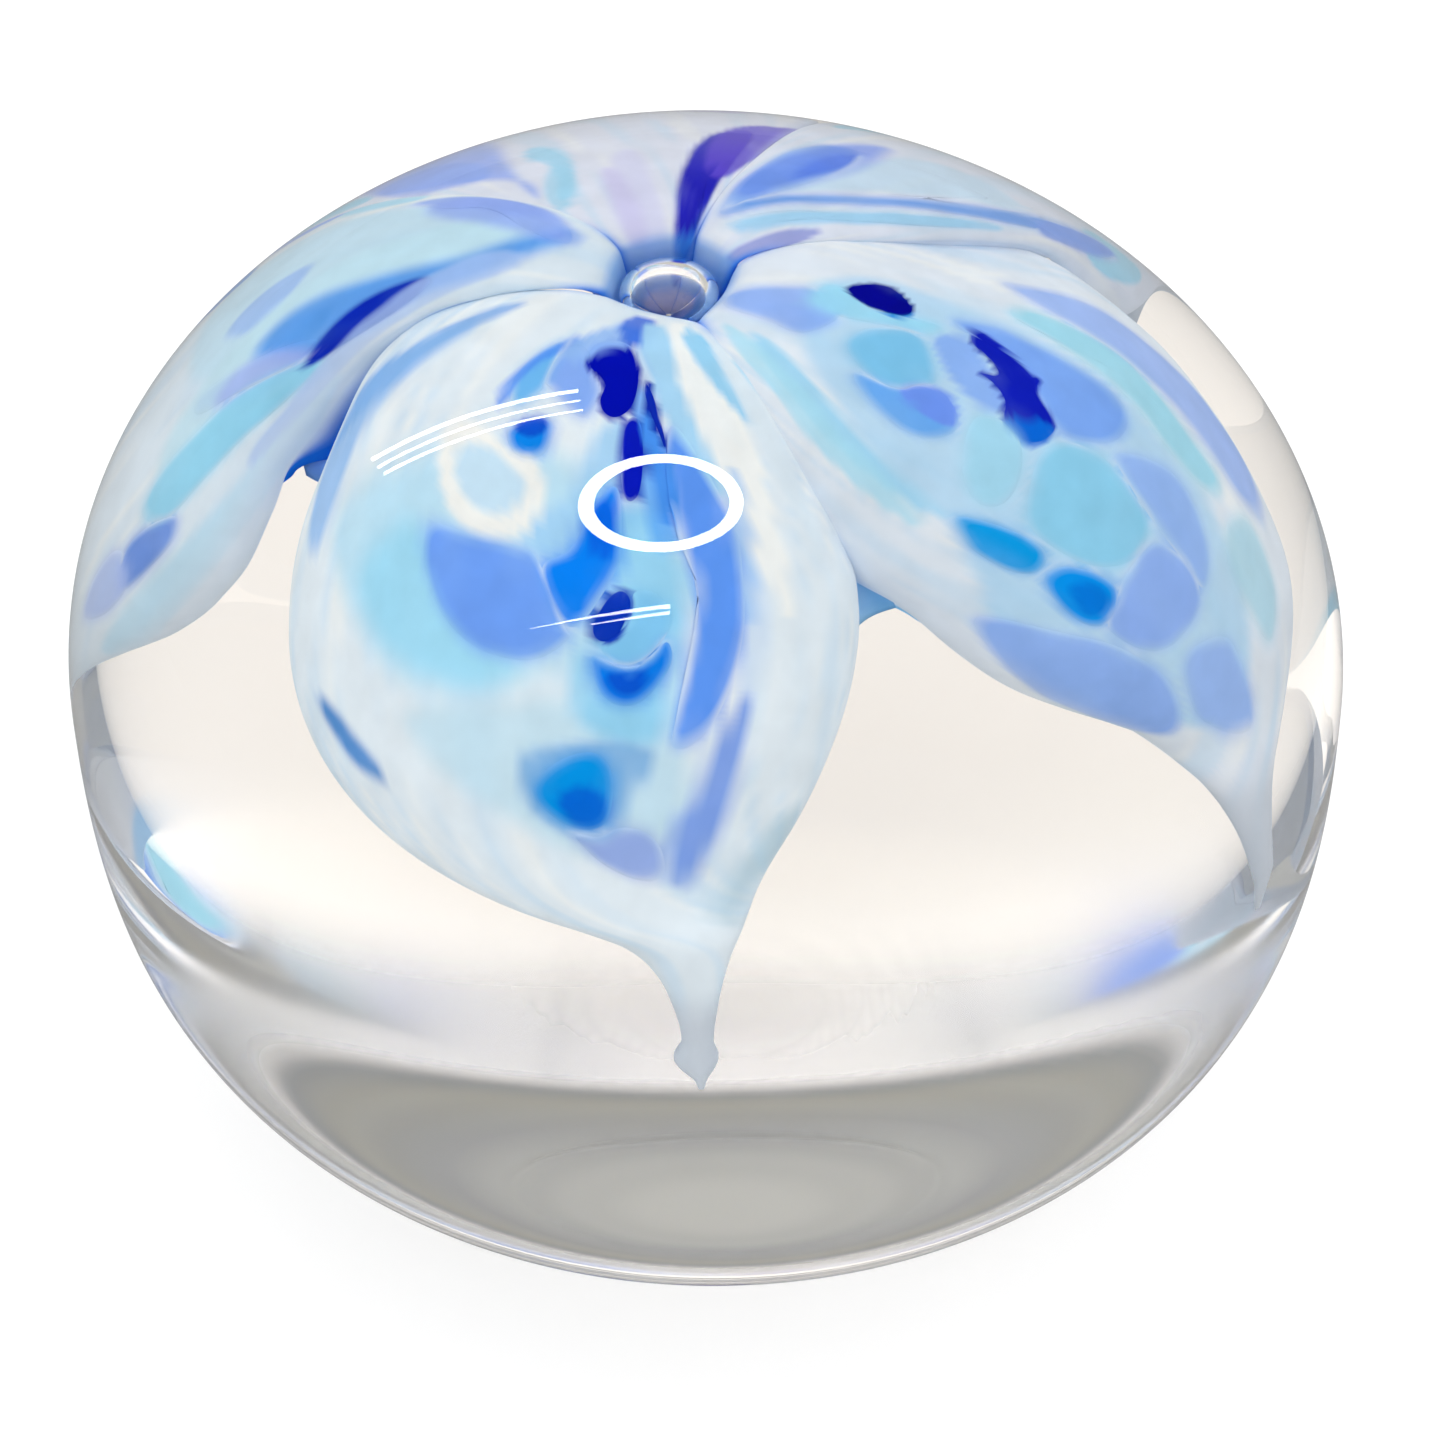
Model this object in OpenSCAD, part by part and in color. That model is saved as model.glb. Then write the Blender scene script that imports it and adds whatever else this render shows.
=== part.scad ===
// Glass flower paperweight.
// A dome of clear glass holds a five-petalled flower of opal glass with melted
// colour chips and one trapped air bubble. Origin at the centre of the flat
// base, +Z up, -Y towards the viewer. Millimetres.

/* [Glass body] */
// Widest diameter of the clear glass
body_d = 80; // [60:1:100]
// Height as a share of the widest diameter
height_ratio = 0.794; // [0.77:0.001:0.83]
// Height of the widest ring as a share of the diameter
waist_ratio = 0.406; // [0.40:0.001:0.42]
// Squareness of the shoulder below the widest ring
lower_power = 2.7; // [2.4:0.05:3.0]
// Facets round the clear glass
round_fn = 96; // [48:8:144]

/* [Flower] */
// Radius of the flower's dome at a petal's crest
flower_r = 27; // [25:0.25:27.5]
// Height of the flower dome's centre above the base
flower_z = 27.5; // [26.5:0.25:28.5]
// Sideways place of the flower's axis
flower_x = -2; // [-3:0.25:3]
// Front-to-back place of the flower's axis
flower_y = 3; // [-3:0.25:3]
// Thickness of a petal
petal_t = 1.4; // [1.2:0.1:1.8]
// How deep the creases between petals run, as a share of the flower's radius
crease = 0.30; // [0.15:0.01:0.36]
// How far the middle of the flower is pressed in, as a share of its radius
dimple = 0.12; // [0.05:0.01:0.15]
// Half-width of a petal's drawn tail
tail_w = 1.1; // [0.8:0.1:1.6]
// Thickness of a colour chip
chip_t = 0.6; // [0.3:0.1:0.7]

/* [Bubble] */
// Width of the trapped bubble
bubble_d = 4.8; // [3:0.1:5]
// Height of the trapped bubble
bubble_h = 2.6; // [2:0.1:4]
// Height of the bubble's centre above the base
bubble_z = 50.5; // [50:0.1:51]

/* [Hidden] */

// Everything scales with the diameter
k = body_d / 80;
R = body_d / 2;
H = body_d * height_ratio;
zw = body_d * waist_ratio;
zb = zw + 1.0 * k;          // the lower curve is cut flat just before it closes
fr = flower_r * k;
fz = flower_z * k;
fx = flower_x * k;
fy = flower_y * k;
gap = -0.3 * k;             // the petals' crests lie in the core's surface, flattened by this much against the casing
core_base_r = 9 * k;        // radius of the core where it is ground flush
env_end = 112;              // polar angle where the casing's inner wall leaves the flower dome
petal_steps = 18;           // rings along a petal
chip_n = 9;                 // corners of a chip
core_fn = 50;               // facets round the core
start = 9;                  // polar angle of a petal's inner end
arch = 30;                  // polar angle where a petal starts to narrow
split = 1.2;                // clear gap between neighbouring petals, in degrees each side

function sm(x) = let (t = max(0, min(1, x))) t * t * (3 - 2 * t);

// One petal: crease azimuths, tail azimuth, end of the blade, end of the tail, fullness of the blade
PETALS = [
  [200, 302, 274, 80,  99, 0.60],
  [302, 380, 349, 92, 108, 0.90],
  [ 20,  72,  46, 90, 107, 0.75],
  [ 72, 136, 104, 91, 108, 0.75],
  [136, 200, 170, 88, 106, 0.75]
];

// Share of the full width that petal p still has at polar angle th
function blade(p, th) = th <= arch ? 1
  : th < PETALS[p][3] ? pow(1 - pow((th - arch) / (PETALS[p][3] - arch), 2.3), PETALS[p][5]) : 0;
function tail_deg(p, th) = tail_w * k / (fr * sin(th)) * 180 / PI
  * (th < PETALS[p][4] - 4 ? 1.6 - 0.6 * sm((th - PETALS[p][3] + 6) / 12) : 1.25);
function lim(p, th, s) = let (a = PETALS[p][s < 0 ? 0 : 1] - s * split, c = PETALS[p][2])
  c + (a - c) * blade(p, th) + s * min(tail_deg(p, th), abs(a - c)) * (1 - blade(p, th));
function mid(p, th) = (lim(p, th, -1) + lim(p, th, 1)) / 2;
function half(p, th) = (lim(p, th, 1) - lim(p, th, -1)) / 2;

// Radius of petal p's outer face, as a share of fr, at polar angle th and azimuth az
function face_r(p, th, az) = let (u = abs(az - mid(p, th)) / half(p, th), g = blade(p, th))
  (1 - dimple * exp(-pow(th / 14, 2)))
  * (1 - crease * sm((th - 6) / 16) * pow(min(1, u), 2.6) * (0.25 + 0.75 * g) * sm(g * 6));

function at(rad, th, az) = [fx + rad * sin(th) * cos(az), fy + rad * sin(th) * sin(az), fz + rad * cos(th)];

// A petal: rings of points from its inner end, over the crest and down to the tail's end
module petal(p, steps = petal_steps, across = 8) {
  m = across;
  th_end = PETALS[p][4];
  th = [for (i = [0 : steps]) start + (th_end - start) * i / steps];
  ring = [for (i = [0 : steps]) concat(
    [for (j = [0 : m]) let (az = lim(p, th[i], -1) + 2 * half(p, th[i]) * j / m)
      at(fr * face_r(p, th[i], az), th[i], az)],
    [for (j = [m : -1 : 0]) let (az = lim(p, th[i], -1) + 2 * half(p, th[i]) * j / m)
      at(fr * face_r(p, th[i], az) - petal_t * k, th[i], az)])];
  M = 2 * (m + 1);
  pts = [for (r = ring) each r];
  side = [for (i = [0 : steps - 1], j = [0 : M - 1])
    let (a = i * M + j, b = i * M + (j + 1) % M, c = a + M, d = b + M) each [[a, d, c], [a, b, d]]];
  cap0 = [for (j = [0 : m - 1]) let (a = j, b = j + 1, c = M - 2 - j, d = M - 1 - j) each [[a, c, b], [a, d, c]]];
  e = steps * M;
  cap1 = [for (j = [0 : m - 1]) let (a = e + j, b = e + j + 1, c = e + M - 2 - j, d = e + M - 1 - j) each [[a, b, c], [a, c, d]]];
  polyhedron(points = pts, faces = concat(side, cap0, cap1), convexity = 8);
}

// A colour chip sunk into petal p's outer face: [petal, polar angle, azimuth, half-length, half-width]
// It fills the bottom of its pocket, chip_t thick; cut makes the pocket's cutter
module chip(c, cut = false, n = chip_n) {
  p = c[0];
  function q(a, s, t) = let (th = c[1] + s * c[3] * k / fr * 180 / PI * cos(a),
    az = c[2] + s * c[4] * k / (fr * sin(c[1])) * 180 / PI * sin(a))
    at(fr * face_r(p, th, az) + t, th, az);
  low = -(0.4 + chip_t) * k;
  top = (cut ? 0.6 : -0.4) * k;
  pts = concat([q(0, 0, low)], [for (i = [0 : n - 1]) q(i * 360 / n, 1, low)],
               [q(0, 0, top)], [for (i = [0 : n - 1]) q(i * 360 / n, 1, top)]);
  f = [for (i = [0 : n - 1]) let (a = 1 + i, b = 1 + (i + 1) % n, c2 = n + 2 + i, d = n + 2 + (i + 1) % n)
    each [[0, a, b], [n + 1, d, c2], [a, c2, d], [a, d, b]]];
  polyhedron(points = pts, faces = f, convexity = 4);
}

// The core before the petals are set into it
module core_blank()
  translate([fx, fy, 0]) rotate_extrude($fn = core_fn) polygon(concat(bubble_arc(-1), interface(), [[0, 0]]));

// A petal flattened where it meets the casing, with the pockets that its chips lie in
module set_petal(p)
  resize([0, 0, 0]) difference() {
    intersection() { petal(p); core_blank(); }
    for (c = concat(NAVY, AZURE, PERIWINKLE, AQUA)) if (c[0] == p) chip(c, true);
  }

NAVY = [[0, 19, 251, 1.5, 1.5], [0, 33, 262, 1.8, 0.7], [0, 24, 267, 1.4, 0.45], [0, 49.5, 262, 0.8, 0.8],
        [1, 24, 353, 1.0, 2.0], [1, 40, 347, 2.2, 1.2], [3, 20, 84, 2.4, 0.8], [4, 35, 176, 1.2, 2.6]];
AZURE = [[0, 42, 256, 2.0, 1.6], [0, 56, 265, 1.2, 1.8], [0, 67, 259, 1.8, 1.8], [0, 30, 234, 1.6, 1.3],
         [1, 52, 323, 1.3, 2.4], [1, 62, 330, 1.5, 1.9], [1, 48.5, 341, 0.9, 1.2],
         [2, 32, 50, 1.0, 2.2], [3, 46, 92, 1.8, 1.5], [4, 43, 178, 1.2, 2.4]];
PERIWINKLE = [[0, 49, 243, 3.2, 3.0], [0, 43, 276, 4.2, 1.0], [0, 57, 274, 1.6, 1.0], [0, 75, 269, 1.2, 2.0],
              [1, 52, 354, 1.6, 2.6], [1, 68, 326, 1.7, 3.2], [1, 83, 345, 1.6, 2.4], [1, 71, 342, 1.5, 1.8], [1, 69, 355, 1.6, 2.2],
              [2, 68, 43, 2.0, 3.0], [2, 53, 39, 2.4, 1.8], [3, 40, 124, 2.0, 2.4], [3, 60, 104, 2.5, 3.2], [4, 52, 167, 1.6, 3.0]];
AQUA = [[0, 61, 232, 2.0, 2.4], [0, 36, 246, 1.3, 1.4], [0, 66, 244, 1.6, 1.8], [0, 22, 276, 1.2, 0.8],
        [1, 58, 341, 2.2, 2.6], [1, 35, 331, 2.0, 2.0], [1, 25, 333, 1.4, 1.2], [1, 63, 367, 2.4, 1.4], [1, 76, 360, 1.6, 1.1],
        [2, 44, 60, 2.2, 1.2], [3, 32, 108, 2.2, 1.8], [3, 76, 104, 2.0, 2.2], [4, 62, 184, 2.2, 2.4], [4, 26, 156, 1.6, 1.4]];

// Outer wall of the glass, from the axis at the base to the top
base_a = asin(pow(zw / zb, lower_power / 2));
function body_profile(n = 16) = concat([[0, 0]],
  [for (i = [0 : n]) let (a = base_a * (1 - i / n))
    [R * pow(cos(a), 2 / lower_power), i == 0 ? 0 : zw - zb * pow(sin(a), 2 / lower_power)]],
  [for (i = [1 : n]) [R * cos(90 * i / n), zw + (H - zw) * sin(90 * i / n)]]);

// Wall between casing and core, about the flower's axis, from the bubble's edge out and down to the base
pit_r = bubble_d * k / 2;
bez0 = [(fr + gap) * sin(env_end), fz + (fr + gap) * cos(env_end)];
bez1 = [19 * k, 5 * k];
bez2 = [core_base_r, 0];
function interface(n = 14) = concat(
  [[pit_r, bubble_z * k], [3.1 * k, fz + (fr + gap) * cos(asin(3.1 * k / (fr + gap)))]],
  [for (i = [1 : n]) let (a0 = asin(3.1 * k / (fr + gap)), a = a0 + (env_end - a0) * i / n) [(fr + gap) * sin(a), fz + (fr + gap) * cos(a)]],
  [for (i = [1 : 6]) let (t = i / 6) (1 - t) * (1 - t) * bez0 + 2 * t * (1 - t) * bez1 + t * t * bez2]);
function bubble_arc(s, n = 6) = [for (i = [0 : n - 1]) [pit_r * sin(90 * i / n), bubble_z * k + s * bubble_h * k / 2 * cos(90 * i / n)]];

module clear_casing() {
  color([0.93, 0.95, 0.97, 0.35])
    difference() {
      rotate_extrude($fn = round_fn) polygon(body_profile());
      translate([fx, fy, 0]) rotate_extrude($fn = round_fn)
        polygon(concat(bubble_arc(1), interface(), [[core_base_r, -1], [0, -1]]));
    }
}

// The core is sunk round the petals, so the pieces meet without sharing space
module inner_core() {
  color([0.95, 0.95, 0.92, 0.35])
    resize([0, 0, 0]) difference() {
      core_blank();
      for (p = [0 : 4]) petal(p);
    }
}

module petal_front() { color([0.86, 0.92, 0.98]) set_petal(0); }
module petal_right() { color([0.84, 0.91, 0.98]) set_petal(1); }
module petal_back_right() { color([0.88, 0.93, 0.98]) set_petal(2); }
module petal_back_left() { color([0.88, 0.90, 0.97]) set_petal(3); }
module petal_left() { color([0.82, 0.91, 0.98]) set_petal(4); }

module navy_chips() { color([0.04, 0.08, 0.50]) for (c = NAVY) chip(c); }
module azure_chips() { color([0.05, 0.42, 0.86]) for (c = AZURE) chip(c); }
module periwinkle_chips() { color([0.40, 0.55, 0.90]) for (c = PERIWINKLE) chip(c); }
module aqua_chips() { color([0.55, 0.84, 0.95]) for (c = AQUA) chip(c); }

clear_casing();
inner_core();
petal_front();
petal_right();
petal_back_right();
petal_back_left();
petal_left();
navy_chips();
azure_chips();
periwinkle_chips();
aqua_chips();
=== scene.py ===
import bpy, math
import numpy as np
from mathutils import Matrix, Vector


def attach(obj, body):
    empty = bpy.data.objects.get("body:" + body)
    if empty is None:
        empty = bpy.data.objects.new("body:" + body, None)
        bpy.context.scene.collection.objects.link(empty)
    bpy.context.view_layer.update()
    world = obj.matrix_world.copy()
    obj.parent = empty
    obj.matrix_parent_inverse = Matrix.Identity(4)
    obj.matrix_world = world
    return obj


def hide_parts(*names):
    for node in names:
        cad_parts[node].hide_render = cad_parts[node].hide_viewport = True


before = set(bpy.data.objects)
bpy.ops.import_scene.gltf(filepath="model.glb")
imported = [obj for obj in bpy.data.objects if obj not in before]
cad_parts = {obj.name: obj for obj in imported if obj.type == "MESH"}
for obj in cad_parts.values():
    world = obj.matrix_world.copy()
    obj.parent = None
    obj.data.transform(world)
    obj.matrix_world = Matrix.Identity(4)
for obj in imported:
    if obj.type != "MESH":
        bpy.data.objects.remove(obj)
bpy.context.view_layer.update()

# ------------------------------------------------------------------ GEOMETRY (millimetres, row frame)
# The flower is a five-lobed skirt of opal glass round a tool mark with a bubble in it.
FLOWER = np.array([-2.0, 3.0, 27.5])      # centre of the dome that the petals' crests lie on
RF = 27.0                                 # its radius
LEAN = 0.019                              # the hand-made body leans this much to the left per mm of height
BODY_R, BODY_H, WAIST, CUT, POWER = 40.0, 63.5, 32.48, 33.48, 2.7


def smooth(x):
    t = np.clip(x, 0.0, 1.0)
    return t * t * (3 - 2 * t)


def curve(knots, x):
    """Monotone cubic through (x, y) knots, flat outside them."""
    k = np.array(knots, float)
    xs, ys = k[:, 0], k[:, 1]
    h = np.diff(xs)
    d = np.diff(ys) / h
    m = np.zeros(len(xs))
    for i in range(1, len(xs) - 1):
        if d[i - 1] * d[i] > 0:
            w1, w2 = 2 * h[i] + h[i - 1], h[i] + 2 * h[i - 1]
            m[i] = (w1 + w2) / (w1 / d[i - 1] + w2 / d[i])
    m[0], m[-1] = d[0], d[-1]
    x = np.clip(np.asarray(x, float), xs[0], xs[-1])
    i = np.clip(np.searchsorted(xs, x) - 1, 0, len(h) - 1)
    t = (x - xs[i]) / h[i]
    return (ys[i] * (1 + 2 * t) * (1 - t) ** 2 + m[i] * h[i] * t * (1 - t) ** 2
            + ys[i + 1] * t * t * (3 - 2 * t) + m[i + 1] * h[i] * t * t * (t - 1))


# Meridian of the crests: the funnel under the bubble, its lip, then the dome. th stands for the
# polar angle; below 20 degrees it only counts along the funnel.
MER_R = [(-14, 0.5), (-9, 1.15), (-4, 2.0), (1, 2.65), (6, 3.15), (11, 4.6), (16, 7.2), (20, RF * math.sin(math.radians(20)))]
MER_Z = [(-14, 41.5), (-9, 44.6), (-4, 47.6), (1, 50.1), (6, 51.9), (11, 52.85), (16, 53.15), (20, 27.5 + RF * math.cos(math.radians(20)))]


def meridian(th, grow):
    """Radius, height and outward normal of a petal's crest at th. grow is the petal's own size."""
    def at(t):
        r = np.where(t < 20, curve(MER_R, t), RF * np.sin(np.radians(t)))
        z = np.where(t < 20, curve(MER_Z, t), 27.5 + RF * np.cos(np.radians(t)))
        g = 1 + (grow - 1) * smooth((t - 20) / 40)
        return r * g, 27.5 + (z - 27.5) * g
    r, z = at(th)
    r2, z2 = at(th + 0.5)
    r1, z1 = at(th - 0.5)
    tr, tz = r2 - r1, z2 - z1
    n = np.hypot(tr, tz)
    return r, z, -tz / n, tr / n


# Azimuths of each petal's two edges by th: shared creases at the top, free edges below, then the tail.
PETALS = {
    "front": dict(seam=((0.35, 28), (0.62, 20)), grow=1.0, end=99.5,
                  left=[(-14, 200), (8, 196), (14, 187), (22, 179), (30, 176), (38, 178), (46, 185.5), (56, 194), (65, 203), (70, 209), (74, 216), (77, 224), (79, 232), (81, 244), (82.5, 256), (84, 263.5), (86, 267.5), (89, 270), (94, 271.6), (96.3, 270.8), (98.1, 272.9), (99.5, 273.4)],
                  right=[(-14, 290), (12, 293.5), (20, 298.5), (28, 301.2), (35, 303.7), (41, 306), (47, 306.5), (52, 305), (59, 301), (67, 295), (75, 288), (80, 282.5), (83, 279.3), (86, 277), (90, 275.6), (94, 275.0), (96.3, 275.6), (98.1, 274.3), (99.5, 274.0)]),
    "right": dict(seam=((0.62, 20), (0.50, 50)), grow=1.0, end=108.5, swell=(0.06, 1),
                  left=[(-14, -70), (12, -68.5), (20, -65), (28, -62.7), (35, -60.2), (41, -57.5), (47, -54.5), (56, -46.5), (66, -40), (74, -34), (81, -27), (87, -20.5), (91, -16.5), (95, -14), (100, -12.4), (105, -11.6), (108.5, -11)],
                  right=[(-14, 20), (20, 24.5), (45, 31.5), (60, 34), (70, 34.5), (76, 31), (82, 26), (89, 18), (93, 11), (95, 5), (97, -2), (99, -6), (102, -8.8), (105, -9.6), (108.5, -10.2)]),
    "back_right": dict(seam=((0.50, 50), (0.75, 62)), grow=1.08, end=107.0,
                       left=[(-14, 20), (20, 21.5), (45, 28.5), (60, 32.5), (70, 34.5), (80, 37), (88, 41), (94, 46), (98, 49), (101, 50.2), (107, 51)],
                       right=[(-14, 68), (56, 70), (70, 70), (80, 67), (88, 62), (94, 56), (98, 53.3), (101, 52.4), (107, 51.8)]),
    "back_left": dict(seam=((0.75, 62), (0.88, 70)), grow=1.05, end=108.0,
                      left=[(-14, 68), (56, 71), (68, 74), (78, 79), (86, 87), (92, 95), (96, 99.6), (101, 101.4), (108, 102)],
                      right=[(-14, 138), (56, 137), (68, 137), (78, 133), (86, 124), (92, 113), (96, 105), (101, 103.4), (108, 102.8)]),
    "left": dict(seam=((0.88, 70), (0.35, 28)), grow=1.04, end=108.0,
                 left=[(-14, 138), (56, 136), (68, 135.5), (78, 137), (88, 144), (94, 153.5), (98, 157), (103, 158.4), (108, 159)],
                 right=[(-14, 200), (8, 195), (14, 189), (22, 183.5), (30, 180.5), (38, 181.5), (46, 183.5), (56, 185.5), (63, 189.3), (70, 190.8), (77, 189), (85, 184.5), (91, 179), (97, 171.5), (102, 164.5), (105, 161.2), (108, 159.8)]),
}
ROLL = 100.0      # how far a petal's edge rolls under, in degrees
FACE = 0.80       # share of v that the puffed face takes; the rest is the wall down the crease
THICK = 1.25


def depth_of(w, th):
    return 0.9 * w / (1 + w / 12.0) * (0.60 + 0.40 * smooth((th - 16) / 38))


def petal_frame(p, th):
    P = PETALS[p]
    L, R = curve(P["left"], th), curve(P["right"], th)
    r, z, nr, nz = meridian(th, P["grow"])
    w = np.radians(R - L) / 2 * r
    return L, R, r, z, nr, nz, w


def wall_reach(th):
    return smooth((th - 24) / 14) * (1 - smooth((th - 50) / 9))


def profile(w, th, v):
    """Across offset x and depth d under the crest, for v in [-1, 1]."""
    D = depth_of(w, th)
    a = np.radians(ROLL) * np.clip(v / FACE, -1, 1)
    x, d = w * np.sin(a), D * (1 - np.cos(a))
    t = np.clip((np.abs(v) - FACE) / (1 - FACE), 0, 1)
    reach = wall_reach(th)
    web = np.minimum(D * 1.2 + 3.2 * smooth((th - 15) / 25), 9.5)
    x = x + np.sign(v) * t * reach * (w * 0.985 - w * np.sin(np.radians(ROLL)))
    d = d + t * reach * np.maximum(web - D * (1 - math.cos(math.radians(ROLL))), 0)
    return x, d


def place(p, th, x, d):
    L, R, r, z, nr, nz, w = petal_frame(p, th)
    phi = np.radians((L + R) / 2) + x / r
    (fl, el), (fr, er) = PETALS[p]["seam"]      # creases that stay shallow: by how much, and as far as which th
    flat, far = np.where(x > 0, fr, fl), np.where(x > 0, er, el)
    d = d * (1 - flat * smooth(np.abs(x) / w) * smooth((th - 4) / 10) * (1 - smooth((th - far) / 26)))
    swell, edge = PETALS[p].get("swell", (0.0, 1))
    g = 1 + swell * smooth((edge * x / w + 0.7) / 1.1) * smooth((th - 34) / 26) * (1 - smooth((th - 86) / 12))
    rho, zz = (r - d * nr) * g, 27.5 + (z - d * nz - 27.5) * g
    return np.stack([FLOWER[0] + rho * np.cos(phi), FLOWER[1] + rho * np.sin(phi), zz], -1)


def face_point(p, th, v):
    th, v = np.broadcast_arrays(np.asarray(th, float), np.asarray(v, float))
    w = petal_frame(p, th)[6]
    x, d = profile(w, th, v)
    return place(p, th, x, d)


def stations(p):
    P = PETALS[p]
    e = P["end"]
    return np.concatenate([np.linspace(-14, 20, 26, endpoint=False), np.linspace(20, 62, 64, endpoint=False),
                           np.linspace(62, e - 8, 84, endpoint=False), np.linspace(e - 8, e, 30)])


def across(n=91):
    t = np.linspace(-1, 1, n)
    return np.sign(t) * (0.62 * np.abs(t) + 0.38 * np.abs(t) ** 1.6)


def petal_mesh(p):
    """Closed sheet: the outer face, a rounded rim, the inner face back. Returns points, faces, th and v of each point, and 1 on the outer face."""
    ths, vs = stations(p), across()
    n = len(vs)
    T, V = np.meshgrid(ths, vs, indexing="ij")
    w = petal_frame(p, T)[6]
    x, d = profile(w, T, V)
    # unit normal of the profile, pointing inwards
    dx, dd = np.gradient(x, axis=1), np.gradient(d, axis=1)
    ln = np.hypot(dx, dd) + 1e-9
    ix, idp = -dd / ln, dx / ln
    t = np.minimum(THICK, 0.7 * w)
    xi, di = x + ix * t, d + idp * t
    k = smooth((3.4 - w) / 2.0)
    under = np.radians(180 - 74 * V / 1.0)
    D = depth_of(w, T)
    ux, ud = w * np.sin(under), D * (1 - np.cos(under))
    xi, di = xi * (1 - k) + ux * k, di * (1 - k) + ud * k
    one = np.ones((len(ths), 1))
    rows_x, rows_d, rows_v, rows_o = [x], [d], [V], [np.ones_like(x)]
    for s in (1, -1):      # round the right rim, back along the inner face, round the left rim
        e = -1 if s == 1 else 0
        tx, td = s * dx[:, e] / ln[:, e], s * dd[:, e] / ln[:, e]
        ox, od, jx, jd = (x[:, e], d[:, e], xi[:, e], di[:, e]) if s == 1 else (xi[:, e], di[:, e], x[:, e], d[:, e])
        mx, md, hx, hd = (ox + jx) / 2, (od + jd) / 2, (jx - ox) / 2, (jd - od) / 2
        h = np.hypot(hx, hd)
        for q in (0.2, 0.4, 0.6, 0.8):
            c, b = math.cos(math.pi * q), math.sin(math.pi * q)
            rows_x.append((mx - hx * c + tx * h * b)[:, None])
            rows_d.append((md - hd * c + td * h * b)[:, None])
            rows_v.append(s * one)
            rows_o.append(0.5 * one)
        if s == 1:
            rows_x.append(xi[:, ::-1]); rows_d.append(di[:, ::-1]); rows_v.append(V[:, ::-1]); rows_o.append(np.zeros_like(x))
    X, Dp, VV, OO = (np.concatenate(r, 1) for r in (rows_x, rows_d, rows_v, rows_o))
    m = X.shape[1]
    TT = np.repeat(ths[:, None], m, 1)
    pts = place(p, TT, X, Dp)
    faces = []
    for i in range(len(ths) - 1):
        for j in range(m):
            j2 = (j + 1) % m
            faces.append((i * m + j, (i + 1) * m + j, (i + 1) * m + j2, i * m + j2))
    pts = pts.reshape(-1, 3)
    TT, VV, OO = TT.ravel(), VV.ravel(), OO.ravel()
    for i, flip in ((0, False), (len(ths) - 1, True)):
        c = len(pts)
        ring = list(range(i * m, i * m + m))
        pts = np.vstack([pts, pts[ring].mean(0)])
        TT, VV, OO = np.append(TT, ths[i]), np.append(VV, 0.0), np.append(OO, 0.5)
        for j in range(m):
            a, b = ring[j], ring[(j + 1) % m]
            faces.append((c, a, b) if not flip else (c, b, a))
    return pts, faces, TT, VV, OO
# ------------------------------------------------------------------ END GEOMETRY

# ------------------------------------------------------------------ COLOUR
def rgb(h):
    c = [int(h[i:i + 2], 16) / 255 for i in (0, 2, 4)]
    return np.array([x / 12.92 if x <= 0.04045 else ((x + 0.055) / 1.055) ** 2.4 for x in c])


GAIN = np.array([1.0, 0.95, 0.90])       # what the glass in front of a colour leaves of it
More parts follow.
